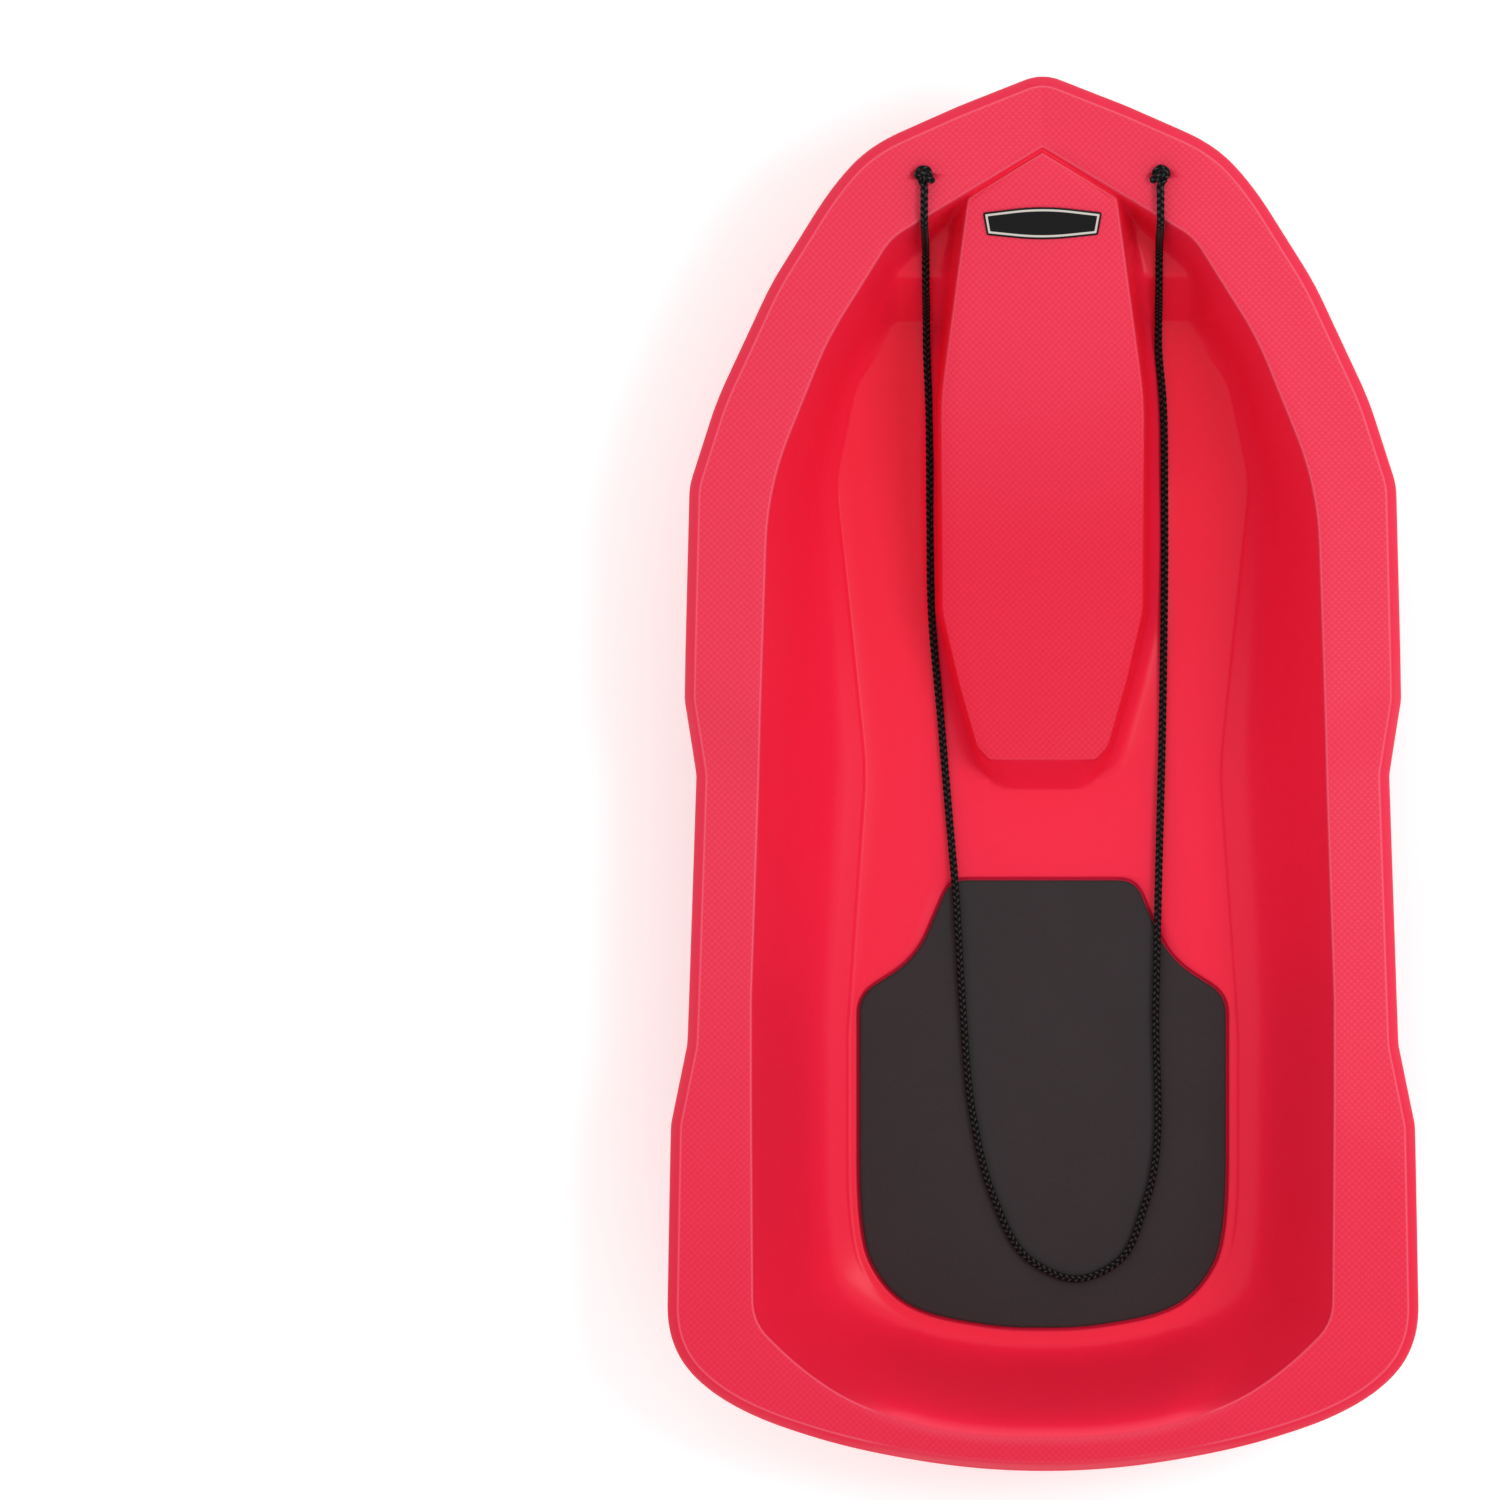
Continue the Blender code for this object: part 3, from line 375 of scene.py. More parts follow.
def curve(at, stations):
    """Smooth line through (place, height) stations: a cubic between each two, whose slope at a
    station is the harmonic mean of its two sides' slopes, and level where they change sign."""
    x, z = np.array(sorted(stations)).T
    steps = np.diff(x)
    rises = np.diff(z) / steps
    slopes = np.zeros(len(x))
    both = rises[:-1] * rises[1:] > 0
    slopes[1:-1][both] = 2 * rises[:-1][both] * rises[1:][both] / (rises[:-1] + rises[1:])[both]
    at = np.clip(at, x[0], x[-1])
    i = np.clip(np.searchsorted(x, at) - 1, 0, len(steps) - 1)
    return cubic((at - x[i]) / steps[i], z[i], z[i + 1], slopes[i] * steps[i], slopes[i + 1] * steps[i])


def turns(corners):
    """Each corner of a closed line with the ways back and ahead to its neighbours, and its radius."""
    places = [Vector(corner[:2]) for corner in corners]
    for i, (corner, place) in enumerate(zip(corners, places)):
        yield place, places[i - 1] - place, places[(i + 1) % len(places)] - place, corner[2]


def rounded(corners):
    """Closed plan line through corners (x, y, radius): each turn is a quadratic curve with the corner
    as its control point, which leaves and joins the two sides at their tangents."""
    line = []
    t = np.linspace(0, 1, TURN_STEPS + 1)[:, None]
    for corner, back, ahead, radius in turns(corners):
        if radius == 0:
            line.append(np.array([corner]))
            continue
        reach = radius / math.tan(back.angle(ahead) / 2)
        start, end = [np.array(corner + way.normalized() * min(reach, TURN_SHARE * way.length))
                      for way in (back, ahead)]
        line.append(start * (1 - t) ** 2 + np.array(corner) * 2 * t * (1 - t) + end * t * t)
    return np.concatenate(line)


def both_sides(half):
    """Corners all round from those of the +X half, nose to tail; those on the centre line stay single."""
    return half + [(-x, y, radius) for x, y, radius in reversed(half) if x > 0]


def mirrored(half):
    """Closed plan outline, clockwise from above, from the corners of its +X half."""
    return rounded(both_sides(half))


def grown(corners, amount):
    """The closed outline's corners moved outwards, each along the line that halves its turn."""
    moved = []
    for corner, back, ahead, radius in turns(corners):
        along = ahead.normalized() - back.normalized()
        out = Vector((-along.y, along.x)) * 2 * amount / along.length_squared
        moved.append((*(corner + out), radius))
    return moved


def inset(outline, amount):
    """The outline moved inwards by an amount, along the normal between each point's neighbours."""
    side = np.roll(outline, -1, axis=0) - np.roll(outline, 1, axis=0)
    side /= np.linalg.norm(side, axis=1)[:, None]
    return outline + np.stack([side[:, 1], -side[:, 0]], axis=1) * amount


def console_front(x):
    """Where the fold between rim and console lies, which runs straight from the apex to each side."""
    shoulder_half, shoulder_y, _ = COCKPIT_CORNERS[1]
    return APEX_Y - (APEX_Y - shoulder_y) * x / shoulder_half


def console_side(half):
    """Corners of a long side of the console: it widens from the nose, runs on, then tapers."""
    return [
        (half, NOSE - 0.2777, BOW_RADIUS),
        (half, CONSOLE_TAIL_Y + 0.133, 0.060),
        (half - 0.0145, CONSOLE_TAIL_Y + 0.070, 0.120),
    ]


PAD = mirrored(PAD_CORNERS)
OUTLINES = {
    "rim": mirrored(RIM_CORNERS),
    "cockpit": mirrored(COCKPIT_CORNERS),
    "foot": mirrored([*FOOT_CORNERS, *grown(both_sides(PAD_CORNERS), PAD_BORDER)[3:len(PAD_CORNERS)]]),
    "pocket": inset(PAD, -POCKET_GROWTH),
    "top": mirrored([
        (0, APEX_Y - CONSOLE_STEP, 0),
        (CONSOLE_NOSE_HALF, console_front(CONSOLE_NOSE_HALF) - CONSOLE_STEP, 0.004),
        *console_side(CONSOLE_HALF),
        (CONSOLE_TAIL_HALF + CONSOLE_HEEL, CONSOLE_TAIL_Y + CONSOLE_HEEL, 0.014),
        (CONSOLE_TAIL_HALF, CONSOLE_TAIL_Y, 0.006),
    ]),
    "side": mirrored([
        (0, APEX_Y, 0),
        (CONSOLE_FOOT_NOSE_HALF, console_front(CONSOLE_FOOT_NOSE_HALF), 0),
        *console_side(CONSOLE_FOOT_HALF),
        (CONSOLE_TAIL_HALF + CONSOLE_HEEL, CONSOLE_TAIL_Y - CONSOLE_HEEL / 2, 0.014),
        (CONSOLE_TAIL_HALF - CONSOLE_HEEL, CONSOLE_END_Y, 0.006),
        (0, CONSOLE_END_Y, 0),
    ]),
}


def rim_top(x, y):
    """Height of the rim's inner edge along the sled, with the grip dips and the fold at the nose."""
    fold = np.clip(1 - abs(x) / NOSE_FOLD_HALF, 0, 1) * smooth((y - CORNER_Y) / (APEX_Y - CORNER_Y))
    return curve(y, RIM_LINE) - NOSE_FOLD * fold


def floor_top(y):
    """Height of the floor along the sled: flat under the seat, a rocker, the step and the foot ledge."""
    step = (LEDGE_TOP - STEP_FOOT_TOP) * np.clip((y - STEP_Y) / STEP_RUN, 0, 1)
    return curve(y, FLOOR_LINE) + step + LEDGE_TILT * np.clip(y - LEDGE_Y, 0, STEP_RUN)


def shelf_rise(y):
    """Height of the shelf above the floor, which fades out at the step and behind the seat."""
    front = smooth((STEP_Y - y) / CREASE_FRONT_FADE)
    return CREASE_DROP * front * smooth((y - PAD_TAIL_Y) / CREASE_REAR_FADE)


def tail_softness(x, y):
    """How far the tail's soft turn from wall to rim has taken over: 1 behind the seat, 0 at the sides."""
    across = smooth((SOFT_TAIL_HALF - abs(x)) / SOFT_TAIL_FADE)
    return across * smooth((SOFT_TAIL_Y - y) / SOFT_TAIL_RISE)


def wall_profile(x, y, t):
    """Fall of the wall from 1 at the rim to 0 at its foot: a power of what is left to go, which makes
    a crisp edge, but half a cosine wave at the tail."""
    soft = tail_softness(x, y)
    return (1 - t) ** WALL_POWER * (1 - soft) + (0.5 + 0.5 * np.cos(np.pi * t)) * soft


def console_height(x, y):
    """Height of the console's top: down from the nose, less a crown that grows with x squared."""
    return curve(y, CONSOLE_LINE) - CONSOLE_CROWN * (x / CONSOLE_HALF) ** 2


def share(a, b):
    """How far a point lies from line a towards line b, from its distances to them."""
    return a / (a + b + NOUGHT)


def sheet_height(x, y, to):
    """Height of the sheet's upper face from a point's place and its signed distances to the outlines:
    rim less a power of the way into the lip, walls by their profile, floor with its pocket, then the
    console. The grip dips grow longer from the rim's inner edge to its outer one, and at the tail the
    rim rolls down by the square of the way across."""
    edge = rim_top(x, y)
    floor = floor_top(y)
    shelf = floor + shelf_rise(y)
    lip = np.maximum(1 + to["rim"] / LIP_WIDTH, 0)
    across = share(abs(to["cockpit"]), np.maximum(-to["rim"], 0))
    spread = GRIP_SPREAD * across * smooth((GRIP_REACH - abs(y - GRIP_Y)) / GRIP_FADE)
    roll = TAIL_ROLL * tail_softness(x, y) * across ** 2
    rim = rim_top(x, y - (y - GRIP_Y) * spread) - RIM_FALL * across - roll - LIP_DROP * lip ** LIP_POWER
    wall = shelf + (edge - shelf) * wall_profile(x, y, share(abs(to["cockpit"]), abs(to["foot"])))
    fall = np.clip(1 + to["foot"] / CREASE_WIDTH, 0, 1)
    sunk = np.clip(-to["pocket"] / POCKET_EDGE, 0, 1)
    level = floor + (shelf - floor) * fall ** 2 - POCKET_DEPTH * sunk
    height = np.where(to["cockpit"] <= 0, wall, rim)
    height = np.where(to["foot"] < 0, level, height)
    down = share(np.maximum(to["top"], 0), abs(to["side"]))
    console = height * down + console_height(x, y) * (1 - down)
    return np.where(to["side"] < 0, console, height)


def from_outline(points, outline):
    """Signed distance of each point to the closed outline, below nought inside, and the plan direction
    in which it grows: away from the nearest place on the line, or square to the line on it."""
    x, y = points.T
    nearest = np.full(len(points), np.inf)
    way = np.zeros_like(points)
    within = np.zeros(len(points), bool)
    for a, b in zip(outline, np.roll(outline, -1, axis=0)):
        along = b - a
        reach = along @ along
        if reach < NOUGHT * NOUGHT:
            continue
        t = np.clip(((points - a) @ along) / reach, 0, 1)
        gap = points - a - t[:, None] * along
        far = np.sqrt((gap * gap).sum(axis=1))
        closer = far < nearest - NOUGHT
        square = np.array([-along[1], along[0]]) / math.sqrt(reach)
        on_line = (far < MERGE)[:, None]
        outward = np.where(on_line, square, gap / np.maximum(far, NOUGHT)[:, None])
        sign = np.where(on_line[:, 0] | ((gap @ square) >= 0), 1.0, -1.0)
        nearest = np.where(closer, far, nearest)
        way[closer] = (outward * sign[:, None])[closer]
        if a[1] != b[1]:
            within ^= ((a[1] > y) != (b[1] > y)) & (x < a[0] + along[0] * (y - a[1]) / along[1])
    return np.where(within, -nearest, nearest), way


def half_width(outline, rows):
    """Half the outline's width at each row: its +X side read as a line, nought past its two ends."""
    side = outline[outline[:, 0] > -NOUGHT]
    y, place = np.unique(np.round(side[:, 1], 7), return_inverse=True)
    x = np.zeros(len(y))
    np.maximum.at(x, place, side[:, 0])
    return np.interp(rows, y, x, left=0, right=0)


def banded(bands, end):
    """Places along a line from bands (start, step), each divided evenly, up to the end."""
    starts = [start for start, _ in bands] + [end]
    parts = [np.linspace(a, b, max(1, round((b - a) / step)), endpoint=False)
             for (a, step), b in zip(bands, starts[1:])]
    return np.append(np.concatenate(parts), end)


def crowded(count, power):
    """Shares of a band that its columns take: one less a power of what is left to go."""
    return 1 - (1 - np.arange(1, count + 1) / count) ** power


def both_hands(half, rows):
    """Plan grid, rows by columns, from half widths that are mirrored to the -X side."""
    x = np.concatenate([-half[:, :0:-1], half], axis=1)
    return np.stack([x, np.broadcast_to(rows[:, None], x.shape)], axis=2)


def hull_plan():
    """Plan grid of the hull, rows by columns: each column keeps a share of the way between two guides
    at its row, so the outlines run along columns."""
    rows = banded(HULL_ROWS, OUTLINES["rim"][:, 1].max())
    rim = half_width(OUTLINES["rim"], rows)
    rear = smooth((CONSOLE_END_Y - rows) / REAR_FADE)

    def least(name, width):
        return np.maximum(width, LEAST[name] * rim * rear)

    def bridged(*outlines):
        width = sum(half_width(outline, rows) for outline in outlines)
        return np.interp(rows, rows[width > 0], width[width > 0])

    def guide(name, outline):
        return least(name, bridged(outline) * (rows < APEX_Y + APEX_MARGIN))

    def just_inside(line):
        return line - EDGE_BAND * np.minimum(line / EDGE_BAND / 3, 1)

    inner = least("inner", bridged(OUTLINES["top"], inset(OUTLINES["pocket"], POCKET_EDGE)))
    outer = least("outer", bridged(OUTLINES["side"], OUTLINES["pocket"]))
    lip = least("lip", half_width(inset(OUTLINES["rim"], LIP_WIDTH), rows))
    guides = [
        just_inside(inner), inner, np.minimum(inner + EDGE_BAND, (inner + outer) / 2), outer,
        guide("crease", inset(OUTLINES["foot"], CREASE_WIDTH)), guide("foot", OUTLINES["foot"]),
        guide("wall", inset(OUTLINES["cockpit"], EDGE_BAND)), guide("cockpit", OUTLINES["cockpit"]),
        guide("rim", inset(OUTLINES["cockpit"], -EDGE_BAND)),
        just_inside(lip), lip, np.minimum(lip + EDGE_BAND, (lip + rim) / 2), rim,
    ]
    columns = [np.zeros_like(rows)]
    last = columns[0]
    for line, columning in zip(guides, HULL_COLUMNS):
        line = np.minimum(np.maximum(line, last), rim)
        columns.extend(last + (line - last) * t for t in crowded(*columning))
        last = line
    return both_hands(np.stack(columns, axis=1), rows)


def filled_plan(outline, rows, columning):
    """Plan grid that fills an outline, and how deep each point lies inside."""
    half = half_width(outline, rows)[:, None] * np.append(0, crowded(*columning))
    plan = both_hands(half, rows)
    return plan, np.maximum(-from_outline(plan.reshape(-1, 2), outline)[0], 0).reshape(plan.shape[:2])


def rounded_edge(depth, radius):
    """Drop of an edge that is rounded as a quarter circle, from the depth inside the outline."""
    return radius * (1 - np.sqrt(1 - np.clip(1 - depth / radius, 0, 1) ** 2))


def ring_heights(points, to, radius):
    """Heights of the sheet at even turns on a circle round each point, whose distances to the outlines
    there are its own ones plus their growth times the step."""
    around = np.arange(RING_SAMPLES) * 2 * np.pi / RING_SAMPLES
    heights = []
    for turn in around:
        step = np.stack([np.cos(turn) * radius, np.sin(turn) * radius], axis=1)
        moved = {name: signed + (way * step).sum(axis=1) for name, (signed, way) in to.items()}
        heights.append(sheet_height(points[:, 0] + step[:, 0], points[:, 1] + step[:, 1], moved))
    return around, np.array(heights)


def hull_surface(rounding, under_rounding):
    """Grids of the sheet's upper and lower face. The upper height is the mean over a small circle,
    which rounds every edge by that circle; the lower face is the upper one less the sheet's thickness
    along the normal of a wider circle's best plane. Also the tangents that point out of the sheet's
    edge, and the masks."""
    plan = hull_plan()
    shape = plan.shape[:2]
    points = plan.reshape(-1, 2)
    to = {name: from_outline(points, outline) for name, outline in OUTLINES.items()}
    signed = {name: pair[0] for name, pair in to.items()}
    near_pocket = smooth(POCKET_NEAR - abs(signed["pocket"]) / POCKET_REACH)
    radius = rounding * (1 - POCKET_SHARPNESS * near_pocket)
    middle = sheet_height(points[:, 0], points[:, 1], signed)
    ring = ring_heights(points, to, radius)[1]
    height = (middle + ring.sum(axis=0)) / (RING_SAMPLES + 1)
    around, wide = ring_heights(points, to, np.full(len(points), under_rounding))
    slope = np.stack([np.cos(around) @ wide, np.sin(around) @ wide], axis=1)
    slope *= 2 / RING_SAMPLES / under_rounding
    normal = np.column_stack([-slope, np.ones(len(points))])
    normal /= np.linalg.norm(normal, axis=1)[:, None]
    top = np.column_stack([points, height])
    under = top - SHEET * normal
    way = to["rim"][1]
    tangent = np.column_stack([way, (slope * way).sum(axis=1)])
    tangent /= np.linalg.norm(tangent, axis=1)[:, None]
    grids = [a.reshape(*shape, -1) for a in (top, under, tangent)]
    return (*grids, hull_masks(points[:, 0], points[:, 1], signed))


def hull_masks(x, y, signed):
    """Point values for the finish, each with its value off the upper face: how far a point lies inside
    the grained faces; how far inside the rim or the console's top; how pale it is, which is the share of
    painted sheen on the grained faces and is less to the tail and less to the console's foot; how strong
    the painted highlight line along the edges is, which fades only to the console's foot; and where the
    painted highlight on the tail's rounded edge lies."""
    grain = np.maximum(np.minimum(signed["cockpit"], -signed["rim"] - LIP_WIDTH), -signed["top"])
    upper = np.maximum(signed["cockpit"], -signed["top"])
    # Painted sheen of the grained faces, less towards the tail, where they show painted shade
    to_tail = 1 - (1 - PALE_TAIL) * smooth(1 - (y - PALE_TAIL_Y) / PALE_TAIL_FADE)
    to_foot = smooth((PALE_FOOT_Y - y) / PALE_FOOT_FADE)
    # Strength of the painted highlight line and of the painted sheen, less at the console's foot
    lined = 1 - (1 - PALE_FOOT) * to_foot * smooth((PALE_FOOT_HALF - abs(x)) / PALE_FOOT_SIDE)
    # Painted highlight on the tail's rounded edge
    rubbed = smooth(1 - abs(signed["cockpit"]) / TAIL_HIGHLIGHT_BAND) * tail_softness(x, y)
    return {"grain": (grain, -1.0), "upper": (upper, 0.0), "pale": (np.minimum(to_tail, lined), PALE_TAIL),
            "lined": (lined, 0.0), "rubbed": (rubbed, 0.0)}


def cells(grid):
    """Values at the four corners of each cell of a grid, once round."""
    return np.stack([grid[:-1, :-1], grid[:-1, 1:], grid[1:, 1:], grid[1:, :-1]], axis=2)


def border(grid):
    """The grid's outermost points, once round: first row, last column, last row, first column."""
    return np.concatenate([grid[0, :-1], grid[:-1, -1], grid[-1, :0:-1], grid[:0:-1, 0]])


def closed_sheet(name, top, under, rim_rings, attributes):
    """Closed mesh of two grids and the rings between their borders; attributes are point values of the
    upper grid, and the lower one and the rings take the value given with each."""
    rows, columns = top.shape[:2]
    index = np.arange(rows * columns).reshape(rows, columns)
    quads = cells(index).reshape(-1, 4)
    rings = [border(index)]
    first = 2 * index.size
    for ring in rim_rings:
        rings.append(np.arange(first, first + len(ring)))
        first += len(ring)
    rings.append(border(index) + index.size)
    faces = [quads, quads[:, ::-1] + index.size]
    for a, b in zip(rings, rings[1:]):
        faces.append(np.stack([a, b, np.roll(b, -1), np.roll(a, -1)], axis=1))
    vertices = np.concatenate([top.reshape(-1, 3), under.reshape(-1, 3), *rim_rings])
    mesh = bpy.data.meshes.new(name)
    mesh.from_pydata(vertices, [], np.concatenate(faces))
    for label, (values, elsewhere) in attributes.items():
        full = np.full(len(vertices), elsewhere, np.float32)
        full[:index.size] = values.ravel()
        mesh.attributes.new(label, "FLOAT", "POINT").data.foreach_set("value", full)
    return merged(name, mesh)


def linked(name, data):
    """New object of the data, in the scene."""
    made = bpy.data.objects.new(name, data)
    bpy.context.scene.collection.objects.link(made)
    return made


def merged(name, mesh):
    """Object of the mesh, with the points of a pole or a seam that lie in one place made one."""
    work = bmesh.new()
    work.from_mesh(mesh)
    bmesh.ops.remove_doubles(work, verts=work.verts, dist=MERGE)
    bmesh.ops.dissolve_degenerate(work, edges=work.edges, dist=MERGE)
    work.to_mesh(mesh)
    work.free()
    mesh.shade_smooth()
    return linked(name, mesh)


def placed(piece, node, finish):
    """The piece in its finish, in place of its CAD node, riding on the sled."""
    piece.data.materials.append(finish)
    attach(piece, "root")
    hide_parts(node)
    return piece


def drill(piece, places, diameter):
    """Upright round holes through the piece at places (x, y, z)."""
    for place in places:
        work = bmesh.new()
        bmesh.ops.create_cone(work, cap_ends=True, segments=DRILL_SIDES, radius1=diameter / 2,
                              radius2=diameter / 2, depth=DRILL_DEPTH)
        bmesh.ops.translate(work, verts=work.verts, vec=place)
        mesh = bpy.data.meshes.new("drill")
        work.to_mesh(mesh)
        work.free()
        cutter = linked("drill", mesh)
        cut = piece.modifiers.new("hole", "BOOLEAN")
        cut.operation = "DIFFERENCE"
        cut.solver = "EXACT"
        cut.object = cutter
        applied = piece.evaluated_get(bpy.context.evaluated_depsgraph_get())
        finished = bpy.data.meshes.new_from_object(applied)
        piece.modifiers.clear()
        piece.data = finished
        bpy.data.objects.remove(cutter)


def smooth_route(route, step):
    """Points at even steps along a smooth curve through the route: a cubic between each two points,
    with tangents that weigh the sides on both hands by their lengths."""
    route = np.array(route)
    ends = np.concatenate([[2 * route[0] - route[1]], route, [2 * route[-1] - route[-2]]])
    a, b, c, d = ends[:-3], ends[1:-2], ends[2:-1], ends[3:]
    ab, bc, cd = [np.linalg.norm(q - p, axis=1)[:, None] for p, q in ((a, b), (b, c), (c, d))]
    start = ((b - a) / ab * bc + (c - b) / bc * ab) * bc / (ab + bc)
    end = ((c - b) / bc * cd + (d - c) / cd * bc) * bc / (bc + cd)
    t = np.linspace(0, 1, ROUTE_STEPS, endpoint=False)[:, None, None]
    points = cubic(t, b, c, start, end)
    points = np.append(points.transpose(1, 0, 2).reshape(-1, 3), route[-1:], axis=0)
    run = np.append(0, np.cumsum(np.linalg.norm(np.diff(points, axis=0), axis=1)))
    at = np.linspace(0, run[-1], round(run[-1] / step) + 1)
    return np.stack([np.interp(at, run, points[:, k]) for k in range(3)], axis=1), at


def least_turned(tangents):
    """A normal at each point of a path: each is the last one, turned only as the path bends."""
    normals = np.zeros_like(tangents)
    normal = Vector((1, 0, 0)) if abs(tangents[0][0]) < ALONG_X else Vector((0, 0, 1))
    for i, tangent in enumerate(tangents):
        normal = (normal - Vector(tangent) * normal.dot(tangent)).normalized()
        normals[i] = normal
    return normals


def tube(name, path, run, radius, sizes):
    """Braided tube along the path: its radius is the given one times one plus the braid's relief times
    the product of a wave round it and one along it, and it closes as a half ball at its ends."""
    tangents = np.gradient(path, axis=0)
    tangents /= np.linalg.norm(tangents, axis=1)[:, None]
    across = least_turned(tangents)
    beside = np.cross(tangents, across)
    turn = np.arange(ROPE_SIDES) * 2 * np.pi / ROPE_SIDES
    wind = 2 * np.pi * run[:, None] / sizes.pick
    lumps = np.cos(sizes.strands * turn) * np.cos(wind)
    from_end = np.minimum(run, run[-1] - run) / radius
    close = np.sqrt(np.clip(1 - np.clip(1 - from_end, 0, 1) ** 2, 0, 1))[:, None]
    reach = (radius * (1 + sizes.relief * lumps) * close)[:, :, None]
    vertices = path[:, None] + reach * (across[:, None] * np.cos(turn)[:, None]
                                        + beside[:, None] * np.sin(turn)[:, None])
    index = np.arange(len(path) * ROPE_SIDES).reshape(-1, ROPE_SIDES)
    faces = cells(np.concatenate([index, index[:, :1]], axis=1)).reshape(-1, 4)
    mesh = bpy.data.meshes.new(name)
    mesh.from_pydata(vertices.reshape(-1, 3), [], faces)
    u, v = np.meshgrid(np.arange(ROPE_SIDES + 1) / ROPE_SIDES, run / sizes.pick)
    uv = np.stack([cells(u), cells(v)], axis=3).astype(np.float32)
    mesh.uv_layers.new(name="winding").data.foreach_set("uv", uv.ravel())
    return merged(name, mesh)


def knot_route(sign, under, rim):
    """Route of a stopper knot: once round a ring beside the hole that climbs with the turn, then over
    itself to a short end. It starts in the rope on the rim, or under the rim in the hole."""
    turn = np.radians(np.linspace(*KNOT_TURNS))
    climb = smooth(np.linspace(0, 1, len(turn)))
    ring = np.column_stack([KNOT_ASIDE - KNOT_RING * np.cos(turn), KNOT_RING * np.sin(turn),
                            KNOT_LOW + (KNOT_HIGH - KNOT_LOW) * climb])
    stub = KNOT_STUB if under else np.empty((0, 3))
    places = np.concatenate([stub, ring, KNOT_OVER, KNOT_END])
    places *= (sign * ROPE_DIAMETER, ROPE_DIAMETER, -ROPE_DIAMETER if under else ROPE_DIAMETER)
    places += (sign * HOLE_HALF, HOLE_Y, rim - SHEET if under else rim)
    joint = [] if under else [(sign * HOLE_HALF, y, z) for y, z in ROPE_DROP[1::-1]]
    return [*joint, *places]


def rope_route():
    """Middle line of the rope: down at the left hole, along the floor, round on the pad, and up again."""
    left = [(-HOLE_HALF, y, z) for y, z in ROPE_DROP]
    right = [(HOLE_HALF, y, z) for y, z in reversed(ROPE_DROP)]
    return left + ROPE_RUN + right


def rim_height(x, y):
    """Height of the sheet's upper face at one place."""
    point = np.array([(x, y)])
    to = {name: from_outline(point, outline)[0] for name, outline in OUTLINES.items()}
    return float(sheet_height(point[:, 0], point[:, 1], to)[0])


class Signal:
    """A value in a shader tree. Arithmetic on it adds Math nodes to that tree."""

    def __init__(self, socket):
        self.socket = socket

    def __add__(self, other):
        return calculate("ADD", self, other)

    def __sub__(self, other):
        return calculate("SUBTRACT", self, other)

    def __rsub__(self, other):
        return calculate("SUBTRACT", other, self)

    def __mul__(self, other):
        return calculate("MULTIPLY", self, other)

    def __truediv__(self, other):
        return calculate("DIVIDE", self, other)

    def __rtruediv__(self, other):
        return calculate("DIVIDE", other, self)

    def __pow__(self, power):
        return calculate("POWER", self, power)

    def __abs__(self):
        return calculate("ABSOLUTE", self)

    def scaled(self, factor, plus):
        """The value times a factor plus another value, in one node."""
        return calculate("MULTIPLY_ADD", self, factor, plus)

    def clipped(self):
        """The value, kept between 0 and 1 by the Math node that it comes from."""
        self.socket.node.use_clamp = True
        return self


def calculate(operation, *values):
    """Result of a Math node on one to three values, in the tree of the first that is a signal."""
    tree = next(value.socket.id_data for value in values if isinstance(value, Signal))
    return add_node(tree, "ShaderNodeMath", enumerate(values), operation=operation)[0]


def add_node(tree, kind, inputs=(), **settings):
    """Signals of a new node by name and by number, after its settings and its inputs are set."""
    node = tree.nodes.new(kind)
    for name, value in settings.items():
        setattr(node, name, value)
    for name, value in dict(inputs).items():
        feed(node.inputs[name], value)
    return {key: Signal(socket) for i, socket in enumerate(node.outputs) for key in (i, socket.name)}


def feed(socket, value):
    """Link a signal to the input socket, or set a plain value on it; a colour's alpha is 1."""
    if isinstance(value, Signal):
        socket.id_data.links.new(value.socket, socket)
    else:
        socket.default_value = (*value, 1) if socket.type == "RGBA" else value


def mixed(amount, first, second):
    """Colour between two colours by an amount."""
    inputs = {"Factor": amount, 6: first, 7: second}
    return add_node(amount.socket.id_data, "ShaderNodeMix", inputs, data_type="RGBA")[2]


def noise(place, scale, detail):
    """Value of a noise texture at a place, about a half on average."""
    inputs = {"Vector": place, "Scale": scale, "Detail": detail}
    return add_node(place.socket.id_data, "ShaderNodeTexNoise", inputs)["Fac"]


def new_group(name, inputs, outputs):
    """Empty shader group with sockets of the kinds given: its tree, its given signals and its results."""
    tree = bpy.data.node_groups.new(name, "ShaderNodeTree")
    for way, sockets in (("INPUT", inputs), ("OUTPUT", outputs)):
        for label, kind in sockets.items():
            tree.interface.new_socket(label, in_out=way, socket_type="NodeSocket" + kind)
    return tree, add_node(tree, "NodeGroupInput"), tree.nodes.new("NodeGroupOutput").inputs


def use_group(tree, build, **values):
    """Signals of the group that a build function makes, once, with its inputs fed by name."""
    name = build.__name__.removeprefix("build_")
    group = bpy.data.node_groups.get(name) or build(name)
    return add_node(tree, "ShaderNodeGroup", values, node_tree=group)


def build_diamond_grain(name):
    """Group: raised diamonds between grooves that run both ways across the diagonals, a power of the
    product of two sine waves without their signs."""
    tree, given, result = new_group(
        name, {"Place": "Vector", "Pitch": "Float", "Mask": "Float"}, {"Height": "Float"})
    place = add_node(tree, "ShaderNodeSeparateXYZ", {0: given["Place"]})
    waves = [calculate("SINE", diagonal / given["Pitch"] * math.pi)
             for diagonal in (place["X"] + place["Y"], place["X"] - place["Y"])]
    feed(result["Height"], abs(waves[0] * waves[1]) ** 0.6 * given["Mask"])
    return tree


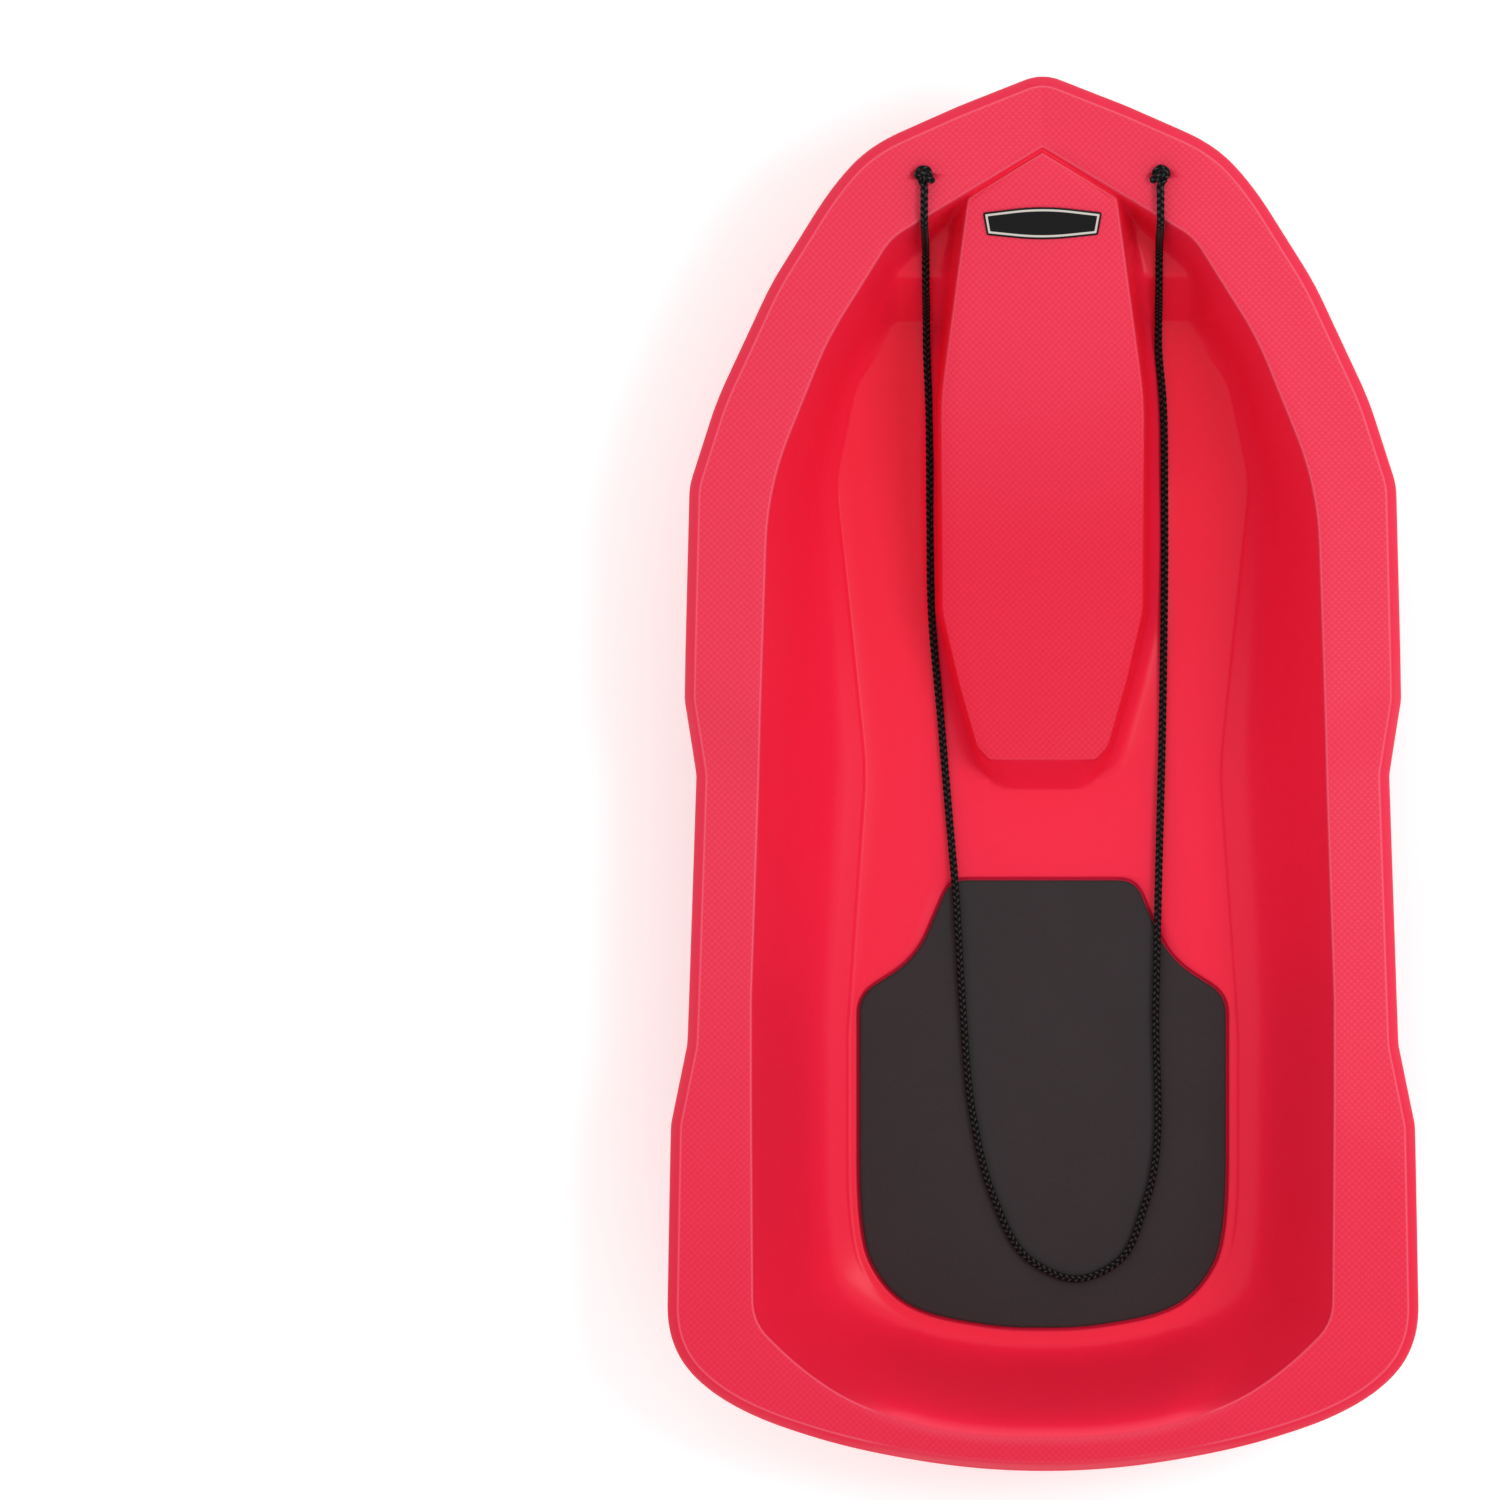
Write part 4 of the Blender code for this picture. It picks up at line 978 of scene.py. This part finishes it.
def build_tone(name):
    """Group: a colour made a little lighter and darker over the surface by noise of two sizes."""
    tree, given, result = new_group(
        name, {"Place": "Vector", "Colour": "Color", "Scale": "Float", "Amount": "Float"},
        {"Colour": "Color", "Value": "Float"})
    both = noise(given["Place"], given["Scale"], 3.0) * 0.65
    both += noise(given["Place"], given["Scale"] * 14.0, 2.0) * 0.35
    inputs = {0: given["Colour"], "Scale": (both - 0.5) * given["Amount"] + 1.0}
    feed(result["Colour"], add_node(tree, "ShaderNodeVectorMath", inputs, operation="SCALE")[0])
    feed(result["Value"], both)
    return tree


def build_braid(name):
    """Group: strands of a braid on the tube's own map. Two sets of ridges wind opposite ways, and columns
    round the tube show one set and the other in turn. Fine fibres run along it."""
    tree, given, result = new_group(
        name, {"Winding": "Vector", "Strands": "Float"}, {"Height": "Float", "Crest": "Float"})
    place = add_node(tree, "ShaderNodeSeparateXYZ", {0: given["Winding"]})
    around, along = place["X"] * given["Strands"], place["Y"]

    def wave(winds):
        return calculate("COSINE", winds * (2 * math.pi)).scaled(0.5, 0.5)

    column = wave(around)
    crest = calculate("MAXIMUM", wave(around + along) * column, wave(around - along) * (1.0 - column))
    stretch = {"Vector": given["Winding"], "Scale": (60.0, 6.0, 1.0)}
    fibres = noise(add_node(tree, "ShaderNodeMapping", stretch)[0], 1.0, 2.0)
    feed(result["Height"], fibres.scaled(0.35, crest))
    feed(result["Crest"], crest)
    return tree


def build_pores(name):
    """Group: closed-cell foam, small cells with low walls between them over a soft unevenness."""
    tree, given, result = new_group(
        name, {"Place": "Vector", "Cell": "Float"}, {"Height": "Float", "Wall": "Float"})
    inputs = {"Vector": given["Place"], "Scale": 1.0 / given["Cell"], "Smoothness": 0.4}
    foam = add_node(tree, "ShaderNodeTexVoronoi", inputs, feature="SMOOTH_F1")
    wall = calculate("MINIMUM", foam["Distance"], 1.0)
    feed(result["Height"], noise(given["Place"], 120.0, 2.0).scaled(1.2, wall))
    feed(result["Wall"], wall)
    return tree


def finish_named(name, roughness, specular, sheen=0.0):
    """Material of that name: it, its tree, its shader's inputs with plain values, and the place on the
    object."""
    made = bpy.data.materials.new(name)
    made.use_nodes = True
    tree = made.node_tree
    sockets = tree.nodes["Principled BSDF"].inputs
    feed(sockets["Roughness"], roughness)
    feed(sockets["Specular IOR Level"], specular)
    feed(sockets["Sheen Weight"], sheen)
    return made, tree, sockets, add_node(tree, "ShaderNodeTexCoord")["Object"]


def raise_bump(sockets, height, distance, strength=1.0):
    """Bump from a height of nought to one, over a distance in metres."""
    inputs = {"Strength": strength, "Distance": distance, "Height": height}
    feed(sockets["Normal"], add_node(height.socket.id_data, "ShaderNodeBump", inputs)[0])


def attribute(tree, name):
    """Value of a point attribute of the piece."""
    return add_node(tree, "ShaderNodeAttribute", attribute_name=name)["Fac"]


def hull_finish(sizes):
    """Red moulded plastic: smooth walls, raised diamonds where the grain attribute is above nought, a
    painted sheen that makes the grained faces paler and pinker and their diamonds' crests paler still,
    fading to a painted shade towards the tail and the console's foot, a thin painted highlight line just
    inside the grained faces' edges, and a broad painted highlight on the tail's rounded edge."""
    made, tree, sockets, place = finish_named("red_hdpe", sizes.gloss, 0.18)
    inside, pale = attribute(tree, "grain"), attribute(tree, "pale")
    mask = (inside / GRAIN_EDGE).clipped()
    grain = use_group(tree, build_diamond_grain, Place=place, Pitch=sizes.grain_pitch, Mask=mask)
    upper = attribute(tree, "upper").scaled(1 / GRAIN_BLEED, 1.0).clipped()
    # Painted sheen and shade: the grained faces go from the shaded grain colour to the paler, pinker
    # sheened one as the pale attribute grows
    base = mixed(upper, sizes.wall_colour, mixed(pale, sizes.shaded_grain_colour, sizes.sheened_grain_colour))
    tone = use_group(tree, build_tone, Place=place, Colour=base, Scale=9.0, Amount=0.07)
    # Painted sheen on the diamonds' crests, towards the highlight colour
    lit = mixed(grain["Height"] * pale.scaled(CREST_SHEEN_GAIN, CREST_SHEEN_SHARE), tone["Colour"], sizes.highlight_colour)
    # Painted highlights: a thin line just inside the grained faces' edges and a band on the tail's rounded
    # edge, both towards the highlight colour
    line = (1.0 - abs(inside - sizes.line_inset) / sizes.line_inset).clipped()
    highlighted = calculate("MAXIMUM", line * (attribute(tree, "lined") * HIGHLIGHT_LINE_SHARE),
                     attribute(tree, "rubbed") * TAIL_HIGHLIGHT_SHARE)
    feed(sockets["Base Color"], mixed(highlighted, lit, sizes.highlight_colour))
    feed(sockets["Roughness"], tone["Value"].scaled(0.06, mask.scaled(0.10, sizes.gloss - 0.03)))
    raise_bump(sockets, grain["Height"], sizes.grain_depth)
    return made


def foam_finish(sizes):
    """Charcoal closed-cell foam: fine cells, a soft mottle and a faint dusty sheen."""
    made, tree, sockets, place = finish_named("charcoal_foam", 0.85, 0.15, sheen=0.05)
    pores = use_group(tree, build_pores, Place=place, Cell=sizes.cell)
    tone = use_group(tree, build_tone, Place=place, Colour=sizes.colour, Scale=16.0, Amount=0.35)
    darker = [0.72 * channel for channel in sizes.colour]
    feed(sockets["Base Color"], mixed((pores["Wall"] * 0.5).clipped(), tone["Colour"], darker))
    feed(sockets["Roughness"], tone["Value"].scaled(0.12, 0.78))
    raise_bump(sockets, pores["Height"], 0.00025, 0.7)
    return made


def rope_finish(sizes):
    """Black braided rope: strands catch the light on their crests, and fine fibres run along them."""
    made, tree, sockets, place = finish_named("black_rope", 0.62, 0.05, sheen=0.01)
    winding = add_node(tree, "ShaderNodeUVMap", uv_map="winding")[0]
    braid = use_group(tree, build_braid, Winding=winding, Strands=sizes.strands)
    tone = use_group(tree, build_tone, Place=place, Colour=sizes.colour, Scale=90.0, Amount=0.5)
    # Painted highlight: the strands' crests go towards the crest colour
    feed(sockets["Base Color"], mixed(braid["Crest"] ** 3.0 * 0.9, tone["Colour"], sizes.crest_highlight_colour))
    feed(sockets["Roughness"], braid["Crest"].scaled(-0.14, 0.70))
    raise_bump(sockets, braid["Height"], 0.0004, 0.8)
    return made


def plate_finish(sizes):
    """Glossy black plate with a pale line just inside its edge."""
    made, tree, sockets, place = finish_named("black_plate", 0.28, 0.12)
    off = abs(attribute(tree, "from_edge") - sizes.line_inset)
    line = ((sizes.line_width / 2 - off) * LINE_CRISPNESS).clipped()
    tone = use_group(tree, build_tone, Place=place, Colour=sizes.colour, Scale=60.0, Amount=0.3)
    feed(sockets["Base Color"], mixed(line, tone["Colour"], sizes.line_colour))
    feed(sockets["Roughness"], tone["Value"].scaled(0.10, 0.22))
    raise_bump(sockets, line * -1.0, 0.0001, 0.6)
    return made


def colour_property(name, description, default):
    """A colour that a user may change."""
    return FloatVectorProperty(name=name, description=description, default=default, subtype="COLOR",
                               size=3, min=0.0, max=1.0)


def length_property(name, description, default):
    """A length that a user may change."""
    return FloatProperty(name=name, description=description, default=default, unit="LENGTH", min=0.0,
                         precision=5)


class TobogganHullSizes(bpy.types.PropertyGroup):
    """Finish and roundings of the moulded sheet."""

    rounding: length_property("Rounding", "Radius that rounds the sheet's edges", 0.0017)
    under_rounding: length_property("Under rounding", "Radius that rounds the sheet's underside", 0.0045)
    grain_pitch: length_property("Grain pitch", "Distance between the grain's diamonds", 0.0058)
    grain_depth: length_property("Grain depth", "Height of the grain's diamonds", 0.00025)
    # The hull's pale line is a painted highlight
    line_inset: length_property("Line inset", "Distance of the pale line from the grain's edge", 0.0013)
    gloss: FloatProperty(name="Roughness", description="Roughness of the smooth plastic", default=0.32)
    wall_colour: colour_property("Wall colour", "Colour of the smooth walls", (0.93, 0.0195, 0.064))
    # Grained faces: the red with a painted sheen; the deep colour is the painted shade they go to at the
    # tail and the console's foot
    sheened_grain_colour: colour_property("Grain colour", "Colour of the grained faces", (0.865, 0.026, 0.074))
    shaded_grain_colour: colour_property("Deep colour", "Colour of the grain at the tail", (0.83, 0.0125, 0.051))
    # Colour of the painted highlights on the edges and of the painted sheen on the diamonds' crests
    highlight_colour: colour_property("Edge colour", "Colour that worn edges go towards", (0.95, 0.24, 0.32))


class TobogganPadSizes(bpy.types.PropertyGroup):
    """Form and finish of the foam pad."""

    unevenness: length_property("Unevenness", "Height of the foam's soft waves", 0.00025)
    cell: length_property("Cell", "Size of the foam's cells", 0.0011)
    colour: colour_property("Foam colour", "Colour of the foam", (0.039, 0.036, 0.038))


class TobogganRopeSizes(bpy.types.PropertyGroup):
    """Braid and finish of the tow rope."""

    pick: length_property("Pick", "Length of one turn of the braid's pattern", 0.0056)
    relief: FloatProperty(name="Relief", description="Share of the radius that strands rise", default=0.12)
    strands: FloatProperty(name="Strands", description="Strands that wind each way round", default=3.0)
    colour: colour_property("Rope colour", "Colour of the rope", (0.0030, 0.0034, 0.0034))
    # The crest colour is a painted highlight on the strands' crests
    crest_highlight_colour: colour_property("Crest colour", "Colour of the strands' crests", (0.066, 0.070, 0.066))


class TobogganPlateSizes(bpy.types.PropertyGroup):
    """Finish of the blank name plate."""

    line_inset: length_property("Line inset", "Distance of the pale line from the edge", 0.0026)
    line_width: length_property("Line width", "Width of the pale line", 0.0019)
    colour: colour_property("Plate colour", "Colour of the plate", (0.006, 0.006, 0.0065))
    line_colour: colour_property("Line colour", "Colour of the line", (0.66, 0.63, 0.57))


class TobogganStageSizes(bpy.types.PropertyGroup):
    """Camera and floor."""

    camera_height: length_property("Camera height", "Height of the camera above the rim", 8.0)
    view_width: length_property("View width", "Width of what the camera sees at the rim", 1.311)
    aim_x: FloatProperty(name="Aim X", description="Where the camera looks, across", default=-0.2556)
    aim_y: FloatProperty(name="Aim Y", description="Where the camera looks, along", default=0.0223)
    floor_size: length_property("Floor size", "Length of the floor's sides", 120.0)
    floor_colour: colour_property("Floor colour", "Colour of the floor", (0.93, 0.93, 0.93))


class TOBOGGAN_OT_stage(bpy.types.Operator):
    """Add the camera over the sled, the pale floor, the room's light and the lamp"""

    bl_idname = "toboggan.stage"
    bl_label = "Stage"

    def execute(self, context):
        sizes = context.scene.toboggan_stage
        context.scene.view_settings.view_transform = "Standard"
        add_camera(context.scene, sizes)
        add_floor(sizes)
        add_room(context.scene)
        add_lamp()
        return {"FINISHED"}


def add_camera(scene, sizes):
    """Camera straight above the sled's middle, turned a little so that the sled stands right of the
    picture's middle."""
    data = bpy.data.cameras.new("camera")
    data.lens = data.sensor_width * sizes.camera_height / sizes.view_width
    data.clip_end = CAMERA_REACH
    camera = linked("camera", data)
    camera.location = (0, 0, SIDE_TOP + sizes.camera_height)
    back = (camera.location - Vector((sizes.aim_x, sizes.aim_y, SIDE_TOP))).normalized()
    right = Vector((0, 1, 0)).cross(back).normalized()
    camera.rotation_mode = "QUATERNION"
    camera.rotation_quaternion = Matrix([right, back.cross(right), back]).transposed().to_quaternion()
    scene.camera = camera


def seen_directly(tree):
    """1 for rays from the camera, mirrored or through clear things, and 0 for those that carry light."""
    path = add_node(tree, "ShaderNodeLightPath")
    seen = (path["Is Camera Ray"] + path["Is Glossy Ray"]).clipped()
    return (seen + path["Is Transmission Ray"]).clipped()


def add_floor(sizes):
    """Pale floor that shows white to the camera and keeps the sled's shadow; from below it is clear."""
    half = sizes.floor_size / 2
    low = min(CAD_BOX[0].z, 0.0) - GAP
    mesh = bpy.data.meshes.new("floor")
    mesh.from_pydata([(-half, -half, low), (half, -half, low), (half, half, low), (-half, half, low)], [],
                     [(0, 1, 2, 3)])
    made, tree, sockets, place = finish_named("pale_floor", 0.9, 0.0)
    tone = use_group(tree, build_tone, Place=place, Colour=sizes.floor_colour, Scale=3.0, Amount=0.01)
    feed(sockets["Base Color"], tone["Colour"])
    feed(sockets["Emission Color"], (1, 1, 1))
    feed(sockets["Emission Strength"], seen_directly(tree) * FLOOR_GLOW)
    pale = Signal(tree.nodes["Principled BSDF"].outputs[0])
    clear = add_node(tree, "ShaderNodeBsdfTransparent")[0]
    below = add_node(tree, "ShaderNodeNewGeometry")["Backfacing"]
    either = add_node(tree, "ShaderNodeMixShader", {0: below, 1: pale, 2: clear})[0]
    feed(tree.nodes["Material Output"].inputs["Surface"], either)
    mesh.materials.append(made)
    linked("floor", mesh)


def add_room(scene):
    """Room that lights the sled evenly and shows white behind it."""
    scene.world = bpy.data.worlds.new("room")
    scene.world.use_nodes = True
    tree = scene.world.node_tree
    background = tree.nodes["Background"].inputs
    feed(background["Color"], (1, 1, 1))
    feed(background["Strength"], seen_directly(tree).scaled(1.0 - ROOM_LIGHT, ROOM_LIGHT))


def add_lamp():
    """Square soft lamp, turned to the sled. Its power gives its part of the plain light at the origin:
    pi squared times the distance squared, over the cosine of its slant to the ground."""
    place = Vector(LAMP_PLACE)
    data = bpy.data.lights.new("key_lamp", "AREA")
    data.energy = LAMP_LIGHT * math.pi ** 2 * place.length_squared / (place.z / place.length)
    data.size = LAMP_SIZE
    lamp = linked("key_lamp", data)
    lamp.location = place
    lamp.rotation_mode = "QUATERNION"
    lamp.rotation_quaternion = (-place).to_track_quat("-Z", "Y")


class TOBOGGAN_OT_rope(bpy.types.Operator):
    """Add the braided tow rope and its four stopper knots"""

    bl_idname = "toboggan.rope"
    bl_label = "Tow rope"

    def execute(self, context):
        sizes = context.scene.toboggan_rope
        finish = rope_finish(sizes)
        rim = rim_height(HOLE_HALF, HOLE_Y)
        for side, sign in (("left", -1), ("right", 1)):
            for level, under in (("upper", False), ("under", True)):
                node = f"knot_{level}_{side}"
                path, run = smooth_route(knot_route(sign, under, rim), KNOT_RING_STEP)
                knot = tube(node + "_tied", path, run, ROPE_DIAMETER / 2 * KNOT_TIGHTNESS, sizes)
                placed(knot, node, finish)
        path, run = smooth_route(rope_route(), ROPE_RING_STEP)
        rope = tube("tow_rope_braided", path, run, ROPE_DIAMETER / 2, sizes)
        placed(rope, "tow_rope", finish)
        return {"FINISHED"}


class TOBOGGAN_OT_hull(bpy.types.Operator):
    """Add the moulded sheet with its rim, walls, console, floor and rope holes"""

    bl_idname = "toboggan.hull"
    bl_label = "Hull"

    def execute(self, context):
        sizes = context.scene.toboggan_hull
        top, under, tangent, masks = hull_surface(sizes.rounding, sizes.under_rounding)
        start, end, out = border(top), border(under), border(tangent)
        rings = []
        for turn in np.arange(1, EDGE_RINGS + 1) * np.pi / (EDGE_RINGS + 1):
            rings.append(start + (end - start) * (1 - np.cos(turn)) / 2 + out * SHEET / 2 * np.sin(turn))
        hull = closed_sheet("hull_sheet", top, under, rings, masks)
        rim = rim_height(HOLE_HALF, HOLE_Y)
        drill(hull, [(sign * HOLE_HALF, HOLE_Y, rim) for sign in (-1, 1)], HOLE_DIAMETER)
        placed(hull, "hull", hull_finish(sizes))
        return {"FINISHED"}


class TOBOGGAN_OT_pad(bpy.types.Operator):
    """Add the foam seat pad in its pocket"""

    bl_idname = "toboggan.pad"
    bl_label = "Seat pad"

    def execute(self, context):
        sizes = context.scene.toboggan_pad
        plan, depth = filled_plan(PAD, banded(PAD_ROWS, PAD_NOSE_Y), PAD_COLUMNS)
        crown = PAD_CROWN * smooth(depth / (PAD_WIDTH / 3))
        waves = [np.sin(plan[..., k] * pace + start) for k, (pace, start) in enumerate(PAD_WAVES)]
        soft = sizes.unevenness * (waves[0] * waves[1]) * smooth(depth / PAD_CALM)
        base = SHEET + GAP
        height = base + PAD_THICKNESS - PAD_CROWN + crown + soft - rounded_edge(depth, PAD_EDGE)
        top = np.dstack([plan, height])
        under = np.dstack([plan * (PAD_UNDERCUT, 1), np.full(depth.shape, base)])
        rings = [border(top) * (1, 1, level) + border(under) * (0, 0, 1 - level) for level in PAD_LEVELS]
        pad = closed_sheet("seat_pad_foam", top, under, rings, {})
        placed(pad, "seat_pad", foam_finish(sizes))
        return {"FINISHED"}


class TOBOGGAN_OT_plate(bpy.types.Operator):
    """Add the blank name plate on the console"""

    bl_idname = "toboggan.plate"
    bl_label = "Name plate"

    def execute(self, context):
        sizes = context.scene.toboggan_plate
        outline = mirrored(PLATE_CORNERS)
        low, high = outline[:, 1].min(), outline[:, 1].max()
        rows = (low + high) / 2 - (high - low) / 2 * np.cos(np.linspace(0, np.pi, PLATE_ROWS))
        plan, depth = filled_plan(outline, rows, PLATE_COLUMNS)
        seat = console_height(plan[..., 0], plan[..., 1]) + GAP
        top = np.dstack([plan, seat + PLATE_THICKNESS - rounded_edge(depth, PLATE_BEVEL)])
        masks = {"from_edge": (depth, 0.0)}
        plate = closed_sheet("name_plate_blank", top, np.dstack([plan, seat]), [], masks)
        placed(plate, "name_plate", plate_finish(sizes))
        return {"FINISHED"}


class TOBOGGAN_PT_panel(bpy.types.Panel):
    """Pieces of the toboggan"""

    bl_idname = "TOBOGGAN_PT_panel"
    bl_label = "Toboggan"
    bl_space_type = "VIEW_3D"
    bl_region_type = "UI"
    bl_category = "Toboggan"

    def draw(self, context):
        for operator in OPERATORS:
            self.layout.operator(operator.bl_idname)
        for name, group in GROUPS.items():
            box = self.layout.box()
            for field in group.__annotations__:
                box.prop(getattr(context.scene, name), field)


GROUPS = {
    "toboggan_stage": TobogganStageSizes,
    "toboggan_rope": TobogganRopeSizes,
    "toboggan_hull": TobogganHullSizes,
    "toboggan_pad": TobogganPadSizes,
    "toboggan_plate": TobogganPlateSizes,
}
OPERATORS = [TOBOGGAN_OT_stage, TOBOGGAN_OT_rope, TOBOGGAN_OT_hull, TOBOGGAN_OT_pad, TOBOGGAN_OT_plate]
CLASSES = [*GROUPS.values(), *OPERATORS, TOBOGGAN_PT_panel]


def register():
    """Register the classes and hang the sizes on the scene."""
    for one in CLASSES:
        bpy.utils.register_class(one)
    for name, group in GROUPS.items():
        setattr(bpy.types.Scene, name, PointerProperty(type=group))


def unregister():
    """Take away what register added."""
    for name in GROUPS:
        delattr(bpy.types.Scene, name)
    for one in reversed(CLASSES):
        bpy.utils.unregister_class(one)


def main():
    """Make every piece in order."""
    register()
    bpy.ops.toboggan.stage()
    bpy.ops.toboggan.rope()
    bpy.ops.toboggan.hull()
    bpy.ops.toboggan.pad()
    bpy.ops.toboggan.plate()


if __name__ == "__main__":
    main()
